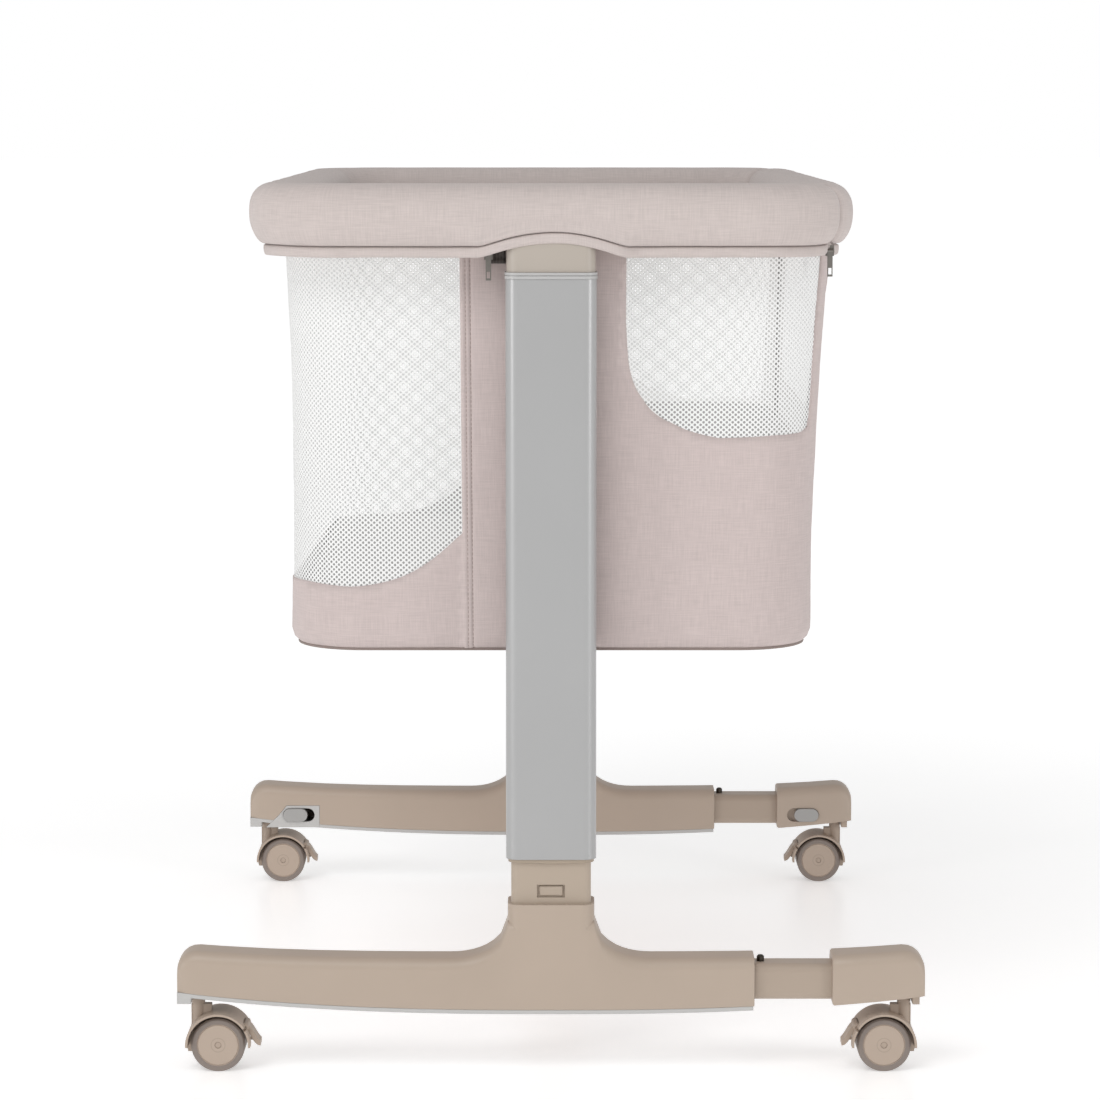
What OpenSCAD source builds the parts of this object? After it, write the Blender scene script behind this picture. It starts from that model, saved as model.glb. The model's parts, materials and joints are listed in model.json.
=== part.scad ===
// Bedside bassinet on a height-adjustable stand with castors.
// Origin: on the floor under the middle of the crib. +Z up, X across the crib, Y along it.
// The drop side is the long side at +X. The near end is the short end at -Y.

/* [Overall] */
// Length of one foot with its extension drawn out
foot_len = 700; // [640:5:760]
// Distance between the two posts, centre to centre
post_gap = 905; // [740:5:1100]
// Width over the padded rim
rim_w = 566; // [460:2:690]
// Height of the rim's top above the floor
rim_top = 829; // [800:1:900]
// Height of the basket's underside above the floor
basket_low = 391; // [360:1:430]

/* [Foot] */
// Depth of a foot, along the crib
foot_d = 48; // [46:1:62]
// Height of the foot's top at its middle
foot_top = 108; // [107:1:116]
// Height of the foot's underside at its middle
foot_low = 56.2; // [52:0.2:59]
// How much higher the foot's underside is at its ends
bow_low_rise = 16.8; // [8:0.2:20]
// How much higher the foot's top is at its ends
bow_top_rise = 8.6; // [4:0.2:12]
// Wall of the moulded foot shell
foot_wall = 2.5; // [2:0.1:3]
// Thickness of the cover strip under the foot
strip_t = 4; // [3:0.5:5]
// Distance from the post's middle to the mouth that the extension slides out of
mouth_x = 190; // [170:1:220]
// Wall of the collar round the column
collar_wall = 3.2; // [2.6:0.1:5]
// Height of the collar's top
collar_top = 160; // [155:1:163]
// Width of the flare on each side of the collar
flare_w = 54; // [40:1:66]
// Height of the straight part of the collar
collar_h = 16; // [10:1:22]

/* [Extension] */
// Height of the extension tube
tube_h = 34;  // [28:1:40]
// Depth of the extension tube
tube_d = 36; // [30:1:38]
// Wall of the extension tube
tube_wall = 2; // [1.5:0.1:3]
// How far the extension slides in
ext_travel = 72; // [40:1:80]
// How deep the tube is seated in its end piece
tube_seat = 30; // [20:1:32]
// Radius of the snap button
snap_r = 3.5; // [2.5:0.1:4.5]
// How far the snap button stands above the tube
snap_h = 6; // [4:0.5:6.5]

/* [Column and sleeve] */
// Width of the inner column
col_w = 74.5; // [62:0.5:90]
// Depth of the inner column
col_d = 36; // [30:0.5:38]
// Wall of the inner column
col_wall = 2.5; // [1.5:0.1:3]
// Gap between the column and the guide it slides in
col_gap = 0.4; // [0.2:0.05:0.6]
// Wall of the guide between column and sleeve
guide_wall = 2.35; // [1.5:0.05:3]
// Wall of the outer sleeve
sleeve_wall = 2; // [1.5:0.1:3]
// Depth of the outer sleeve
sleeve_d = 45; // [43:0.5:50]
// Height of the sleeve's lower end
sleeve_low = 202.4; // [202.2:0.1:210]
// Height of the moulded band round the sleeve's top
trim_h = 6; // [4:1:8]
// Distance between two height settings
step_h = 38; // [30:1:38]
// Number of height settings
steps = 5; // [3:1:5]
// Settings below the one shown
steps_below = 1; // [0:1:1]
// Width of the catch bolt
bolt_w = 24; // [16:1:30]
// Height of the catch bolt
bolt_h = 10; // [8:1:12]

/* [Castors] */
// Wheel diameter
wheel_d = 50.4; // [40:0.2:54]
// Width of one of a castor's two wheels
wheel_w = 14; // [10:0.5:18]
// Thickness of the web between the wheels
web_t = 8; // [6:0.5:10]
// Distance from the castor's stem to its wheels' axle
trail = 19; // [16:0.5:22]
// Distance from the post's middle to a castor's stem
castor_x = 331; // [325:1:335]
// Radius of the stem
stem_r = 5; // [4:0.5:5.5]
// Radius of the axle
axle_r = 3; // [2.5:0.1:4]
// Thickness of the hood over the wheels
hood_t = 2.2; // [1.8:0.1:3]
// Width of the brake lever
brake_w = 20; // [14:1:24]

/* [Release sliders] */
// Length of a slider knob
knob_l = 28; // [22:1:30]
// Height of a slider knob
knob_h = 15; // [12:0.5:15]
// Travel of a slider knob
knob_travel = 8; // [5:0.5:9]

/* [Rim] */
// Height of the padded rim
rim_h = 58; // [48:1:64]
// Thickness of the padded rim
rim_t = 58; // [50:1:62]
// Outer corner radius of the rim in plan
rim_corner = 100; // [90:1:110]
// Radius of the steel rim tube
rim_tube_r = 11; // [9:0.5:12]
// Wall of the steel rim tube
rim_tube_wall = 1.5; // [1:0.1:2]
// Height of the arch that the padding makes over a post
arch_h = 13; // [8:1:16]

/* [Basket] */
// How far the basket's top edge stands inside the rim's outer edge
basket_in = 25; // [20:1:30]
// How far the basket's lower edge stands inside its top edge, on each long side
basket_taper = 9; // [0:1:14]
// Corner radius of the basket in plan
basket_corner = 75; // [60:1:82]
// Rounding between the basket's walls and its underside
basket_round = 16; // [8:1:22]
// Thickness of the sewn cover
cover_t = 3; // [2:0.5:4]
// Thickness of the mesh
mesh_t = 1.2; // [0.8:0.1:2]
// Gap between an end wall and its post
post_clear = 4; // [3:0.5:8]
// Radius of the lower frame tube
low_tube_r = 5.5; // [5:0.5:9]
// Thickness of the base board
board_t = 4; // [4:0.5:9]
// Thickness of the mattress
mattress_t = 25; // [20:1:60]
// Height of the lower edge of the mesh on the long side
mesh_low = 456; // [440:1:500]
// Height of the lower edge of the window beside the drop side
window_low = 592; // [560:1:620]
// How much lower the windows' lower edges are at the far end
far_window_drop = 20; // [0:1:24]
// Distance from the middle to the edge of the large end window
window_left = 85; // [60:1:110]
// Distance from the middle to the edge of the small end window
window_right = 70; // [56:1:110]
// Curve in the small window's lower corner
window_curve = 80; // [30:1:90]

/* [Drop side] */
// Height of the fold that the drop side turns on
fold_z = 562; // [520:1:600]
// How far each zip leans inward from the rim down to the fold
zip_lean = 150; // [0:5:180]
// Gap round the drop side where its zips run
zip_gap = 1; // [0.5:0.1:2]

/* [Hidden] */
END_NAMES = ["near", "far"];
SIDE_NAMES = ["left", "right"];
END_PARTS = [
    "foot_shell", "foot_strip", "foot_core", "column", "extension_tube", "extension_end",
    "snap_button", "fixed_slider", "moving_slider", "sleeve", "sleeve_trim", "post_cap",
    "sleeve_guide", "height_catch"
];
CASTOR_PARTS = ["hood", "pins", "wheels", "brake"];
BASKET_PARTS = [
    "basket_cover", "mesh_windows", "drop_panel", "drop_mesh", "rim_frame", "rim_padding",
    "drop_rail", "drop_rail_padding", "base_board", "mattress", "lower_frame", "rim_brackets",
    "zip_sliders", "band_zip_pull", "corner_zip_pull"
];

$fn = 48;
tiny = 0.01;
clear = 0.3;      // gap between pieces that move past each other
far_away = 2000;  // reach of a cutting block
BEIGE = "#b9a797";
GREY = "#a9aaab";
LINEN = "#cfc0b9";
TAUPE = "#857a74";
WHITE = "#eeeeee";
STEEL = "#8d8d8d";

// Foot
foot_x = foot_len / 2;
collar_w = col_w + 2 * collar_wall;
core_wall = 2;
core_gap = 1;
core_h = tube_h + 2 * core_gap + 2 * core_wall;
core_d = tube_d + 2 * core_gap + 2 * core_wall;
core_top = foot_top - foot_wall - 0.5;
tube_mid = core_top - core_h / 2;
tube_high = tube_mid + tube_h / 2;
tube_round = 8;   // corner radius of the extension tube's section
end_round = 20;   // rounding of a foot's end in side view
edge_round = 11;  // rounding of a foot's long upper edges
end_steps = [0.03, 0.1, 0.25, 0.45, 0.7, 1];
block_w = 13;     // stop block beside a castor's stem
block_drop = 7;
mouth_lip = 4;
core_x = mouth_x - mouth_lip - 0.5;

function bow_low(x) = foot_low + bow_low_rise * pow(abs(x) / foot_x, 2.5);
function bow_top(x) = foot_top + bow_top_rise * pow(x / foot_x, 4);

// Side view of the flare: 0 at its outer end, 1 where it meets the collar
function flare_rise(t) = 1 - sqrt(max(0, 1 - pow(t, 2.2)));
function foot_high(x) =
    let (out = abs(x) - collar_w / 2)
    let (t = 1 - out / flare_w)
    let (rise = collar_top - collar_h - bow_top(x))
    bow_top(x) + (out >= flare_w ? 0 : rise * flare_rise(min(1, t)));

// Extension end piece
cap_x0 = foot_x - 87;
cap_chamfer = 1.5;
seat_gap = 0.05;
tube_in_x = cap_x0 + tube_seat;
tube_out_x = mouth_x - ext_travel - 55;
snap_x = mouth_x + snap_r + 3;

// Castor
wheel_r = wheel_d / 2;
hood_r = wheel_r + 5.3;
hood_w = web_t + 2 * wheel_w + 10;
boss_r = 6.3;
boss_top = bow_low(castor_x) - 1.2;
stem_top = bow_low(castor_x) + 22;
pin_gap = 0.05;
brake_at = 32;    // direction of the brake's pivot from the axle, in degrees
brake_reach = hood_r - 0.9;
brake_pin_r = 1.5;
brake_barrel_r = 3.5;
brake_out = 14;   // how far the lever's tip stands out from its pivot
brake_down = 16;  // how far the tip hangs below the pivot
brake_t = 4.6;

// Slider
knob_x = castor_x - 34;
knob_z = bow_low(knob_x) + 12.5;
knob_proud = 2.5;
slot_play = 0.3;
tab_x0 = knob_x - knob_l / 2 - knob_travel - 6;
stem_play = 1.2;

// Column and sleeve
guide_w = col_w + 2 * col_gap + 2 * guide_wall;
guide_d = col_d + 2 * col_gap + 2 * guide_wall;
sleeve_w = guide_w + 2 * sleeve_wall;
sleeve_top = rim_top - rim_h - 23 - trim_h;
guide_lip = 4;
guide_h = 46;
col_low = core_top;
col_top = sleeve_top - step_h * steps_below - 14;
catch_z = collar_top + 12 + step_h * steps_below;
window_play = 1;
corner_r = 12;

// Rim
rim_l = post_gap + sleeve_d + 6;
rim_low = rim_top - rim_h;
rim_round = 21;
rim_mid_z = rim_top - rim_h / 2;
rim_line = post_gap / 2 - (rim_l - rim_t) / 2;  // from a post's middle to the rim tube's middle
rail_cut = rim_l / 2 - 62;
cap_low = sleeve_top + trim_h;
bracket_w = 60;
bracket_t = 3;

// Basket
basket_w = rim_w - 2 * basket_in;
basket_l = post_gap - sleeve_d - 2 * post_clear;
basket_top = rim_low - clear;
board_low = basket_low + cover_t + 2 * low_tube_r;
mattress_low = board_low + board_t;
panel_cut = basket_l / 2 - 38;
panel_border = 30;    // cloth round the drop side's window
panel_hem = 12;       // cloth between the drop side's window and the rim
side_window_in = 46;  // where the long side's window meets the end windows
window_flat = 60;     // flat part of the large window's lower edge, beside the long side
window_rise = 34;     // how far that edge rises towards the post
window_step = 40;

// ---- helpers -----------------------------------------------------------------------------

// Places a piece drawn at the near post, with +Y towards the crib's middle
module at_end(e) {
    translate([0, (e == 0 ? -1 : 1) * post_gap / 2, 0])
        mirror([0, e, 0])
            children();
}

// Places a piece drawn about a left castor's stem, with +X towards the crib's middle
module at_castor(e, s) {
    at_end(e)
        translate([(s == 0 ? -1 : 1) * castor_x, 0, 0])
            mirror([s, 0, 0])
                children();
}

module rounded_rect(w, d, r) {
    union() {
        square([w - 2 * r, d], center = true);
        square([w, d - 2 * r], center = true);
        for (x = [-1, 1])
            for (y = [-1, 1])
                translate([x * (w / 2 - r), y * (d / 2 - r)])
                    circle(r = r);
    }
}

// Upright post of rounded section, from z0 to z1
module post(w, d, r, z0, z1) {
    translate([0, 0, z0])
        linear_extrude(height = z1 - z0)
            rounded_rect(w, d, r);
}

// Block given by its two corners
module block(low, high) {
    translate(low)
        cube(high - low);
}

// Turns a drawing in X and Z into a solid between y0 and y1
module side_slab(y0, y1) {
    translate([0, y1, 0])
        rotate([90, 0, 0])
            linear_extrude(height = y1 - y0)
                children();
}

// Bar of rounded section along X, at the height of the extension tube
module bar_x(x0, x1, d, h, r) {
    translate([x0, 0, tube_mid])
        rotate([90, 0, 90])
            linear_extrude(height = x1 - x0)
                rounded_rect(d, h, r);
}

// Round bar along Y
module bar_y(r, y0, y1) {
    translate([0, y0, 0])
        rotate([-90, 0, 0])
            cylinder(r = r, h = y1 - y0);
}

// Ring of points across a foot: flat underside, upright sides, rounded upper edges
function foot_ring(x, low, high, half, r) =
    let (n = 5)
    let (q = min(r, (high - low) / 2 - tiny, half - tiny))
    concat(
        [[x, -half, low], [x, half, low]],
        [for (i = [0:n]) [x, half - q + q * cos(i * 90 / n), high - q + q * sin(i * 90 / n)]],
        [for (i = [0:n]) [x, -half + q - q * sin(i * 90 / n), high - q + q * cos(i * 90 / n)]]
    );

// Skin through rings that all have the same number of points
module loft(rings) {
    n = len(rings[0]);
    m = len(rings);
    points = [for (ring = rings) for (p = ring) p];
    sides = [
        for (i = [0:m - 2])
            for (j = [0:n - 1])
                let (a = i * n + j)
                let (b = i * n + (j + 1) % n)
                    [[a, b + n, b], [a, a + n, b + n]]
    ];
    faces = concat(
        [for (pair = sides) for (f = pair) f],
        [[for (j = [0:n - 1]) j]],
        [[for (j = [n - 1:-1:0]) (m - 1) * n + j]]
    );
    polyhedron(points = points, faces = faces, convexity = 6);
}

// How much a foot's rounded end lowers its top, s from the end
function end_drop(s) = s >= end_round ? 0 : end_round - sqrt(end_round * end_round - pow(end_round - s, 2));

// Ring around the crib: a section drawn with X outwards and Y up, swept round a rounded rectangle
module swept_ring(w, l, r) {
    for (x = [-1, 1])
        for (y = [-1, 1])
            translate([x * (w / 2 - r), y * (l / 2 - r), 0])
                rotate([0, 0, x > 0 ? (y > 0 ? 0 : 270) : (y > 0 ? 90 : 180)])
                    rotate_extrude(angle = 90)
                        translate([r, 0])
                            children();
    for (x = [-1, 1])
        translate([x * w / 2, 0, 0])
            rotate([0, 0, x > 0 ? 0 : 180])
                side_slab(-(l / 2 - r), l / 2 - r)
                    children();
    for (y = [-1, 1])
        translate([0, y * l / 2, 0])
            rotate([0, 0, y > 0 ? 90 : 270])
                side_slab(-(w / 2 - r), w / 2 - r)
                    children();
}

// ---- foot --------------------------------------------------------------------------------

foot_stations = concat(
    [for (s = end_steps) -foot_x + s * end_round],
    [for (x = [-foot_x + 2 * end_round:45:-collar_w / 2 - flare_w - 20]) x],
    [for (i = [0:8]) -collar_w / 2 - flare_w * (1 - i / 8)],
    [for (i = [0:8]) collar_w / 2 + flare_w * i / 8],
    [for (x = [collar_w / 2 + flare_w + 30:45:mouth_x - 15]) x],
    [mouth_x]
);

// Solid outline of a foot, shrunk by a wall of t
module foot_body(t) {
    loft([
        for (x = foot_stations)
            let (inset = x < -foot_x + end_round ? end_drop(x + foot_x) : 0)
            let (at = x < 0 ? x * (1 - t / foot_x) : x)
            foot_ring(
                at, bow_low(x) + strip_t - t, foot_high(x) - inset - t,
                foot_d / 2 - t - min(4, inset / 5), max(edge_round - t, 2)
            )
    ]);
}

// Outline, in X and Z, of the grey tab that holds the slider
module tab_outline(grow) {
    x1 = -tab_x0 + grow;
    z0 = bow_low(knob_x) - 2;
    z1 = knob_z + knob_h / 2 + 3.5 + grow;
    polygon([
        [-knob_x - knob_l / 2 - 20 - grow, z0], [x1, z0], [x1, z1],
        [-knob_x - knob_l / 2 + 4, z1], [-knob_x - knob_l / 2 - 5 - grow, knob_z]
    ]);
}

module slot_outline(l, h) {
    hull()
        for (x = [-1, 1])
            translate([x * (l - h) / 2, 0])
                circle(d = h, $fn = 32);
}

module foot_shell() {
    color(BEIGE)
        difference() {
            union() {
                foot_body(0);
                post(collar_w, foot_d, corner_r, foot_top - 4, collar_top);
            }
            difference() {
                foot_body(foot_wall);
                block([mouth_x - mouth_lip, -foot_d, 0], [mouth_x + 1, foot_d, collar_top]);
            }
            bar_x(
                mouth_x - mouth_lip - 1, mouth_x + 1, tube_d + 2 * core_gap, tube_h + 2 * core_gap,
                tube_round + core_gap
            );
            post(
                col_w + 2 * seat_gap, col_d + 2 * seat_gap, corner_r - 5 + seat_gap,
                core_top, collar_top + 1
            );
            side_slab(foot_d / 2 - foot_wall - 1, foot_d / 2 + 1)
                tab_outline(0.2);
        }
}

module foot_strip() {
    n = 24;
    x0 = -foot_x + 0.5;
    x1 = mouth_x - 1;
    half = foot_d / 2 - 0.5;
    color(GREY)
        difference() {
            union() {
                side_slab(-half, half)
                    polygon(concat(
                        [for (i = [0:n]) let (x = x0 + (x1 - x0) * i / n) [x, bow_low(x)]],
                        [for (i = [n:-1:0]) let (x = x0 + (x1 - x0) * i / n)
                            [x, bow_low(x) + strip_t - 0.1]]
                    ));
                block(
                    [x0, -half, bow_low(x0) - block_drop],
                    [x0 + block_w, half, bow_low(x0 + block_w) + strip_t - 1]
                );
                translate([-castor_x, 0, bow_low(castor_x) + 1])
                    cylinder(r = stem_r + 4, h = stem_top - bow_low(castor_x) + 1);
                difference() {
                    side_slab(half - foot_wall, half + 0.5)
                        tab_outline(0);
                    side_slab(half - foot_wall - 1, half + 2)
                        translate([-knob_x + knob_travel / 2, knob_z])
                            slot_outline(knob_l + knob_travel + 2 * slot_play, knob_h + 2 * slot_play);
                }
            }
            translate([-castor_x, 0, bow_low(castor_x) - block_drop - 8])
                cylinder(r = stem_r + pin_gap, h = stem_top);
            translate([-castor_x, 0, bow_low(castor_x) - block_drop - 8])
                cylinder(r = boss_r + stem_play, h = block_drop + 8);
            bar_x(
                -core_x - clear, mouth_x, core_d + 2 * clear, core_h + 2 * clear,
                tube_round + core_gap + core_wall
            );
        }
}

module foot_core() {
    color(STEEL)
        difference() {
            bar_x(-core_x, core_x, core_d, core_h, tube_round + core_gap + core_wall);
            bar_x(
                -mouth_x, mouth_x, core_d - 2 * core_wall, core_h - 2 * core_wall,
                tube_round + core_gap
            );
        }
}

module extension_tube() {
    color(BEIGE)
        difference() {
            bar_x(tube_out_x, tube_in_x, tube_d, tube_h, tube_round);
            bar_x(
                tube_out_x - 1, tube_in_x + 1, tube_d - 2 * tube_wall, tube_h - 2 * tube_wall,
                tube_round - tube_wall
            );
            translate([snap_x, 0, tube_mid])
                cylinder(r = snap_r + clear, h = tube_h);
        }
}

module extension_end() {
    stations = concat(
        [cap_x0, cap_x0 + cap_chamfer, cap_x0 + 20, cap_x0 + 40],
        [for (i = [len(end_steps) - 1:-1:0]) foot_x - end_steps[i] * end_round]
    );
    color(BEIGE)
        difference() {
            union() {
                loft([
                    for (x = stations)
                        let (inset = x > foot_x - end_round ? end_drop(foot_x - x) : 0)
                        let (trim = x == cap_x0 ? cap_chamfer : 0)
                        foot_ring(
                            x, bow_low(x) + trim, bow_top(x) - inset - trim,
                            foot_d / 2 - min(4, inset / 5), edge_round
                        )
                ]);
                block(
                    [castor_x + boss_r + stem_play, -foot_d / 2 + 8, bow_low(castor_x) - block_drop],
                    [foot_x - 5, foot_d / 2 - 8, bow_low(castor_x) + 6]
                );
            }
            bar_x(
                cap_x0 - 1, tube_in_x, tube_d + 2 * seat_gap, tube_h + 2 * seat_gap,
                tube_round + seat_gap
            );
            translate([castor_x, 0, foot_low - 5])
                cylinder(r = stem_r + pin_gap, h = stem_top - foot_low + 6);
            side_slab(foot_d / 2 - 5, foot_d / 2 + 1)
                translate([knob_x - knob_travel / 2, knob_z])
                    slot_outline(knob_l + knob_travel + 2 * slot_play, knob_h + 2 * slot_play);
        }
}

module snap_button() {
    color("#55504c")
        translate([snap_x, 0, 0]) {
            translate([0, 0, tube_high - tube_wall - 2])
                cylinder(r = snap_r, h = tube_wall + 2 + snap_h - 1.5);
            translate([0, 0, tube_high + snap_h - 1.5])
                cylinder(r1 = snap_r, r2 = snap_r - 1.5, h = 1.5);
            translate([0, 0, tube_high - tube_wall - 3.2])
                cylinder(r = snap_r + 2.5, h = 1.2);
        }
}

// Oval knob on the inner face of a foot, at -X for a fixed end
module slider_knob() {
    color(GREY)
        side_slab(foot_d / 2 - 2.4, foot_d / 2 + knob_proud)
            translate([-knob_x, knob_z])
                slot_outline(knob_l, knob_h);
}

// ---- column and sleeve -------------------------------------------------------------------

module column() {
    color(BEIGE)
        difference() {
            post(col_w, col_d, corner_r - 5, col_low, col_top);
            post(col_w - 2 * col_wall, col_d - 2 * col_wall, corner_r - 7, col_low - 1, col_top + 1);
            for (k = [0:steps - 1])
                translate([0, 0, catch_z + (k - steps_below) * step_h])
                    cube([bolt_w + 2 * window_play, 2 * col_d, bolt_h + 2 * window_play], center = true);
        }
}

module sleeve() {
    color(GREY)
        difference() {
            post(sleeve_w, sleeve_d, corner_r, sleeve_low, sleeve_top);
            post(guide_w, sleeve_d - 2 * sleeve_wall, corner_r - 2, sleeve_low - 1, sleeve_top + 1);
            catch_window(sleeve_d / 2 - sleeve_wall - 1, sleeve_d / 2 + 1);
        }
}

module catch_window(y0, y1) {
    block(
        [-bolt_w / 2 - window_play, y0, catch_z - bolt_h / 2 - window_play],
        [bolt_w / 2 + window_play, y1, catch_z + bolt_h / 2 + window_play]
    );
}

module sleeve_trim() {
    groove_low = sleeve_top + trim_h * 0.45;
    color(GREY)
        difference() {
            post(sleeve_w + 1.6, sleeve_d + 1.6, corner_r + 0.8, sleeve_top, cap_low);
            post(sleeve_w - 8, sleeve_d - 8, corner_r - 4, sleeve_top - 1, cap_low + 1);
            difference() {
                post(sleeve_w + 4, sleeve_d + 4, corner_r, groove_low, groove_low + 1);
                post(sleeve_w + 0.4, sleeve_d + 0.4, corner_r, sleeve_top, cap_low);
            }
        }
}

// Side view of the arch over a post
module arch_outline(grow) {
    n = 16;
    half = sleeve_w / 2 + 20 + grow;
    polygon(concat(
        [[-half, rim_low - 30]],
        [for (i = [0:n]) let (u = -1 + 2 * i / n)
            [u * half, rim_low - 1 + (arch_h + 1 + grow) * pow(cos(90 * u), 1.4)]],
        [[half, rim_low - 30]]
    ));
}

module post_cap() {
    color(BEIGE)
        difference() {
            intersection() {
                post(sleeve_w - 2, sleeve_d - 2, corner_r - 1, cap_low, rim_top);
                side_slab(-sleeve_d, sleeve_d)
                    arch_outline(0);
            }
            post(sleeve_w - 10, sleeve_d - 10, corner_r - 4, cap_low - 1, rim_low - 8);
        }
}

// Moulded guide in the sleeve's lower end, with a lip below it
module sleeve_guide() {
    side = sleeve_w / 2;
    lip_low = sleeve_low - guide_lip;
    color(BEIGE)
        difference() {
            union() {
                post(guide_w, sleeve_d - 2 * sleeve_wall, corner_r - 2, sleeve_low, sleeve_low + guide_h);
                intersection() {
                    post(sleeve_w - 4, sleeve_d - 3, corner_r - 2, sleeve_low - guide_lip, sleeve_low);
                    side_slab(-sleeve_d, sleeve_d)
                        polygon([
                            [-side, sleeve_low - 3], [-side + 12, lip_low + 1], [0, lip_low],
                            [side - 12, lip_low + 1], [side, sleeve_low - 3], [side, sleeve_low],
                            [-side, sleeve_low]
                        ]);
                }
            }
            post(
                col_w + 2 * col_gap, col_d + 2 * col_gap, corner_r - 5 + col_gap,
                sleeve_low - guide_lip - 1, sleeve_low + guide_h + 1
            );
            catch_window(col_d / 2 - 1, sleeve_d / 2);
        }
}

// Pull tab and bolt on the crib side of a sleeve
module height_catch() {
    tip = col_d / 2 - col_wall - 1;
    plate = 3;
    color(BEIGE) {
        block(
            [-bolt_w / 2, tip, catch_z - bolt_h / 2],
            [bolt_w / 2, sleeve_d / 2 + 1.5, catch_z + bolt_h / 2]
        );
        difference() {
            block(
                [-bolt_w / 2 - 7, sleeve_d / 2 + 0.6, catch_z - bolt_h / 2 - 1.5],
                [bolt_w / 2 + 7, sleeve_d / 2 + 0.6 + plate, catch_z + 26]
            );
            translate([0, 0, catch_z + 17])
                bar_y(7, 0, sleeve_d);
        }
    }
}

// ---- castor, drawn about its stem with the wheels towards +X ------------------------------

module at_axle() {
    translate([trail, 0, wheel_r])
        children();
}

module at_brake_pivot() {
    at_axle()
        translate([brake_reach * cos(brake_at), 0, brake_reach * sin(brake_at)])
            children();
}

module castor_hood() {
    half = hood_w / 2;
    ear = 3;
    color(BEIGE)
        difference() {
            union() {
                difference() {
                    at_axle()
                        bar_y(hood_r, -half, half);
                    at_axle()
                        bar_y(hood_r - hood_t, -half - 1, half + 1);
                }
                at_axle()
                    bar_y(hood_r - hood_t + tiny, -web_t / 2, web_t / 2);
                translate([-0.5, 0, wheel_r])
                    cylinder(r = boss_r, h = boss_top - wheel_r);
                translate([-boss_r - 0.5, -web_t / 2, wheel_r])
                    cube([trail, web_t, boss_top - wheel_r - 8]);
                for (y = [-1, 1])
                    at_brake_pivot()
                        bar_y(brake_barrel_r, y > 0 ? brake_w / 2 + 0.5 : -brake_w / 2 - 0.5 - ear,
                            y > 0 ? brake_w / 2 + 0.5 + ear : -brake_w / 2 - 0.5);
            }
            block([-far_away, -half - 1, -hood_r], [far_away, -web_t / 2, wheel_r - 1.5]);
            block([-far_away, web_t / 2, -hood_r], [far_away, half + 1, wheel_r - 1.5]);
            block([-far_away, -half, -hood_r], [far_away, half, wheel_r - 9]);
            for (y = [-1, 1])
                at_axle()
                    bar_y(wheel_r + 1.2, y > 0 ? web_t / 2 : -half + 2, y > 0 ? half - 2 : -web_t / 2);
            at_axle()
                bar_y(wheel_r + 1.2, -half - 1, -half + 3);
            at_axle()
                bar_y(wheel_r + 1.2, half - 3, half + 1);
            at_axle()
                bar_y(axle_r, -half, half);
            translate([0, 0, wheel_r + wheel_r * 0.75])
                cylinder(r = stem_r, h = boss_top);
            at_axle()
                brake_room();
            at_brake_pivot()
                bar_y(brake_pin_r, -half, half);
        }
}

// The cut in the hood that the brake lever moves in
module brake_room() {
    intersection() {
        bar_y(hood_r + 8, -brake_w / 2 - 0.5, brake_w / 2 + 0.5);
        union() {
            block([wheel_r - 4, -brake_w, -12], [hood_r + 10, brake_w, brake_reach * sin(brake_at)]);
            translate([brake_reach * cos(brake_at), 0, brake_reach * sin(brake_at)])
                bar_y(brake_barrel_r + 1, -brake_w, brake_w);
        }
    }
}

module castor_pins() {
    color(STEEL) {
        translate([0, 0, wheel_r + wheel_r * 0.75])
            cylinder(r = stem_r, h = stem_top - wheel_r * 1.75);
        at_axle()
            bar_y(axle_r, -web_t / 2 - wheel_w + 1, web_t / 2 + wheel_w - 1);
        at_brake_pivot()
            bar_y(brake_pin_r, -brake_w / 2 - 3, brake_w / 2 + 3);
    }
}

module castor_wheels() {
    side_play = 0.4;
    face = wheel_w - side_play;
    color(TAUPE)
        at_axle()
            for (y = [-1, 1])
                rotate([y * -90, 0, 0])
                    translate([0, 0, web_t / 2 + side_play])
                        difference() {
                            rotate_extrude()
                                polygon([
                                    [axle_r + pin_gap, 0], [wheel_r - 1.5, 0], [wheel_r, 1.5],
                                    [wheel_r, face - 1.5], [wheel_r - 1.5, face], [wheel_r - 5.2, face],
                                    [wheel_r - 6, face - 0.8], [wheel_r - 6.6, face], [8, face - 0.4],
                                    [axle_r + pin_gap, face - 0.4]
                                ]);
                        }
}

// Middle line of the brake lever, and the direction across it
function lever_line(t) = [brake_out * t, -brake_down * t * t * (3 - 2 * t)];
function lever_side(t) =
    let (v = [brake_down * 6 * t * (1 - t), brake_out])
    v * brake_t / 2 / norm(v);

module castor_brake() {
    half = brake_w / 2;
    n = 8;
    color(BEIGE)
        at_brake_pivot()
            difference() {
                union() {
                    bar_y(brake_barrel_r, -half, half);
                    side_slab(-half + 1, half - 1)
                        polygon(concat(
                            [for (i = [0:n]) lever_line(i / n) + lever_side(i / n)],
                            [for (i = [n:-1:0]) lever_line(i / n) - lever_side(i / n)]
                        ));
                }
                bar_y(brake_pin_r + pin_gap, -half - 1, half + 1);
            }
}

// ---- rim ---------------------------------------------------------------------------------

module rim_section() {
    translate([0, rim_mid_z])
        rounded_rect(rim_t, rim_h, rim_round);
}

// The region of the drop side, opened by g all round
module rail_region(g) {
    block([rim_w / 2 - rim_corner, -rail_cut - g, 0], [far_away, rail_cut + g, far_away]);
}

module rim_path(grow) {
    swept_ring(rim_w - rim_t, rim_l - rim_t, rim_corner - rim_t / 2)
        translate([0, rim_mid_z])
            circle(r = rim_tube_r + grow);
}

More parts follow.
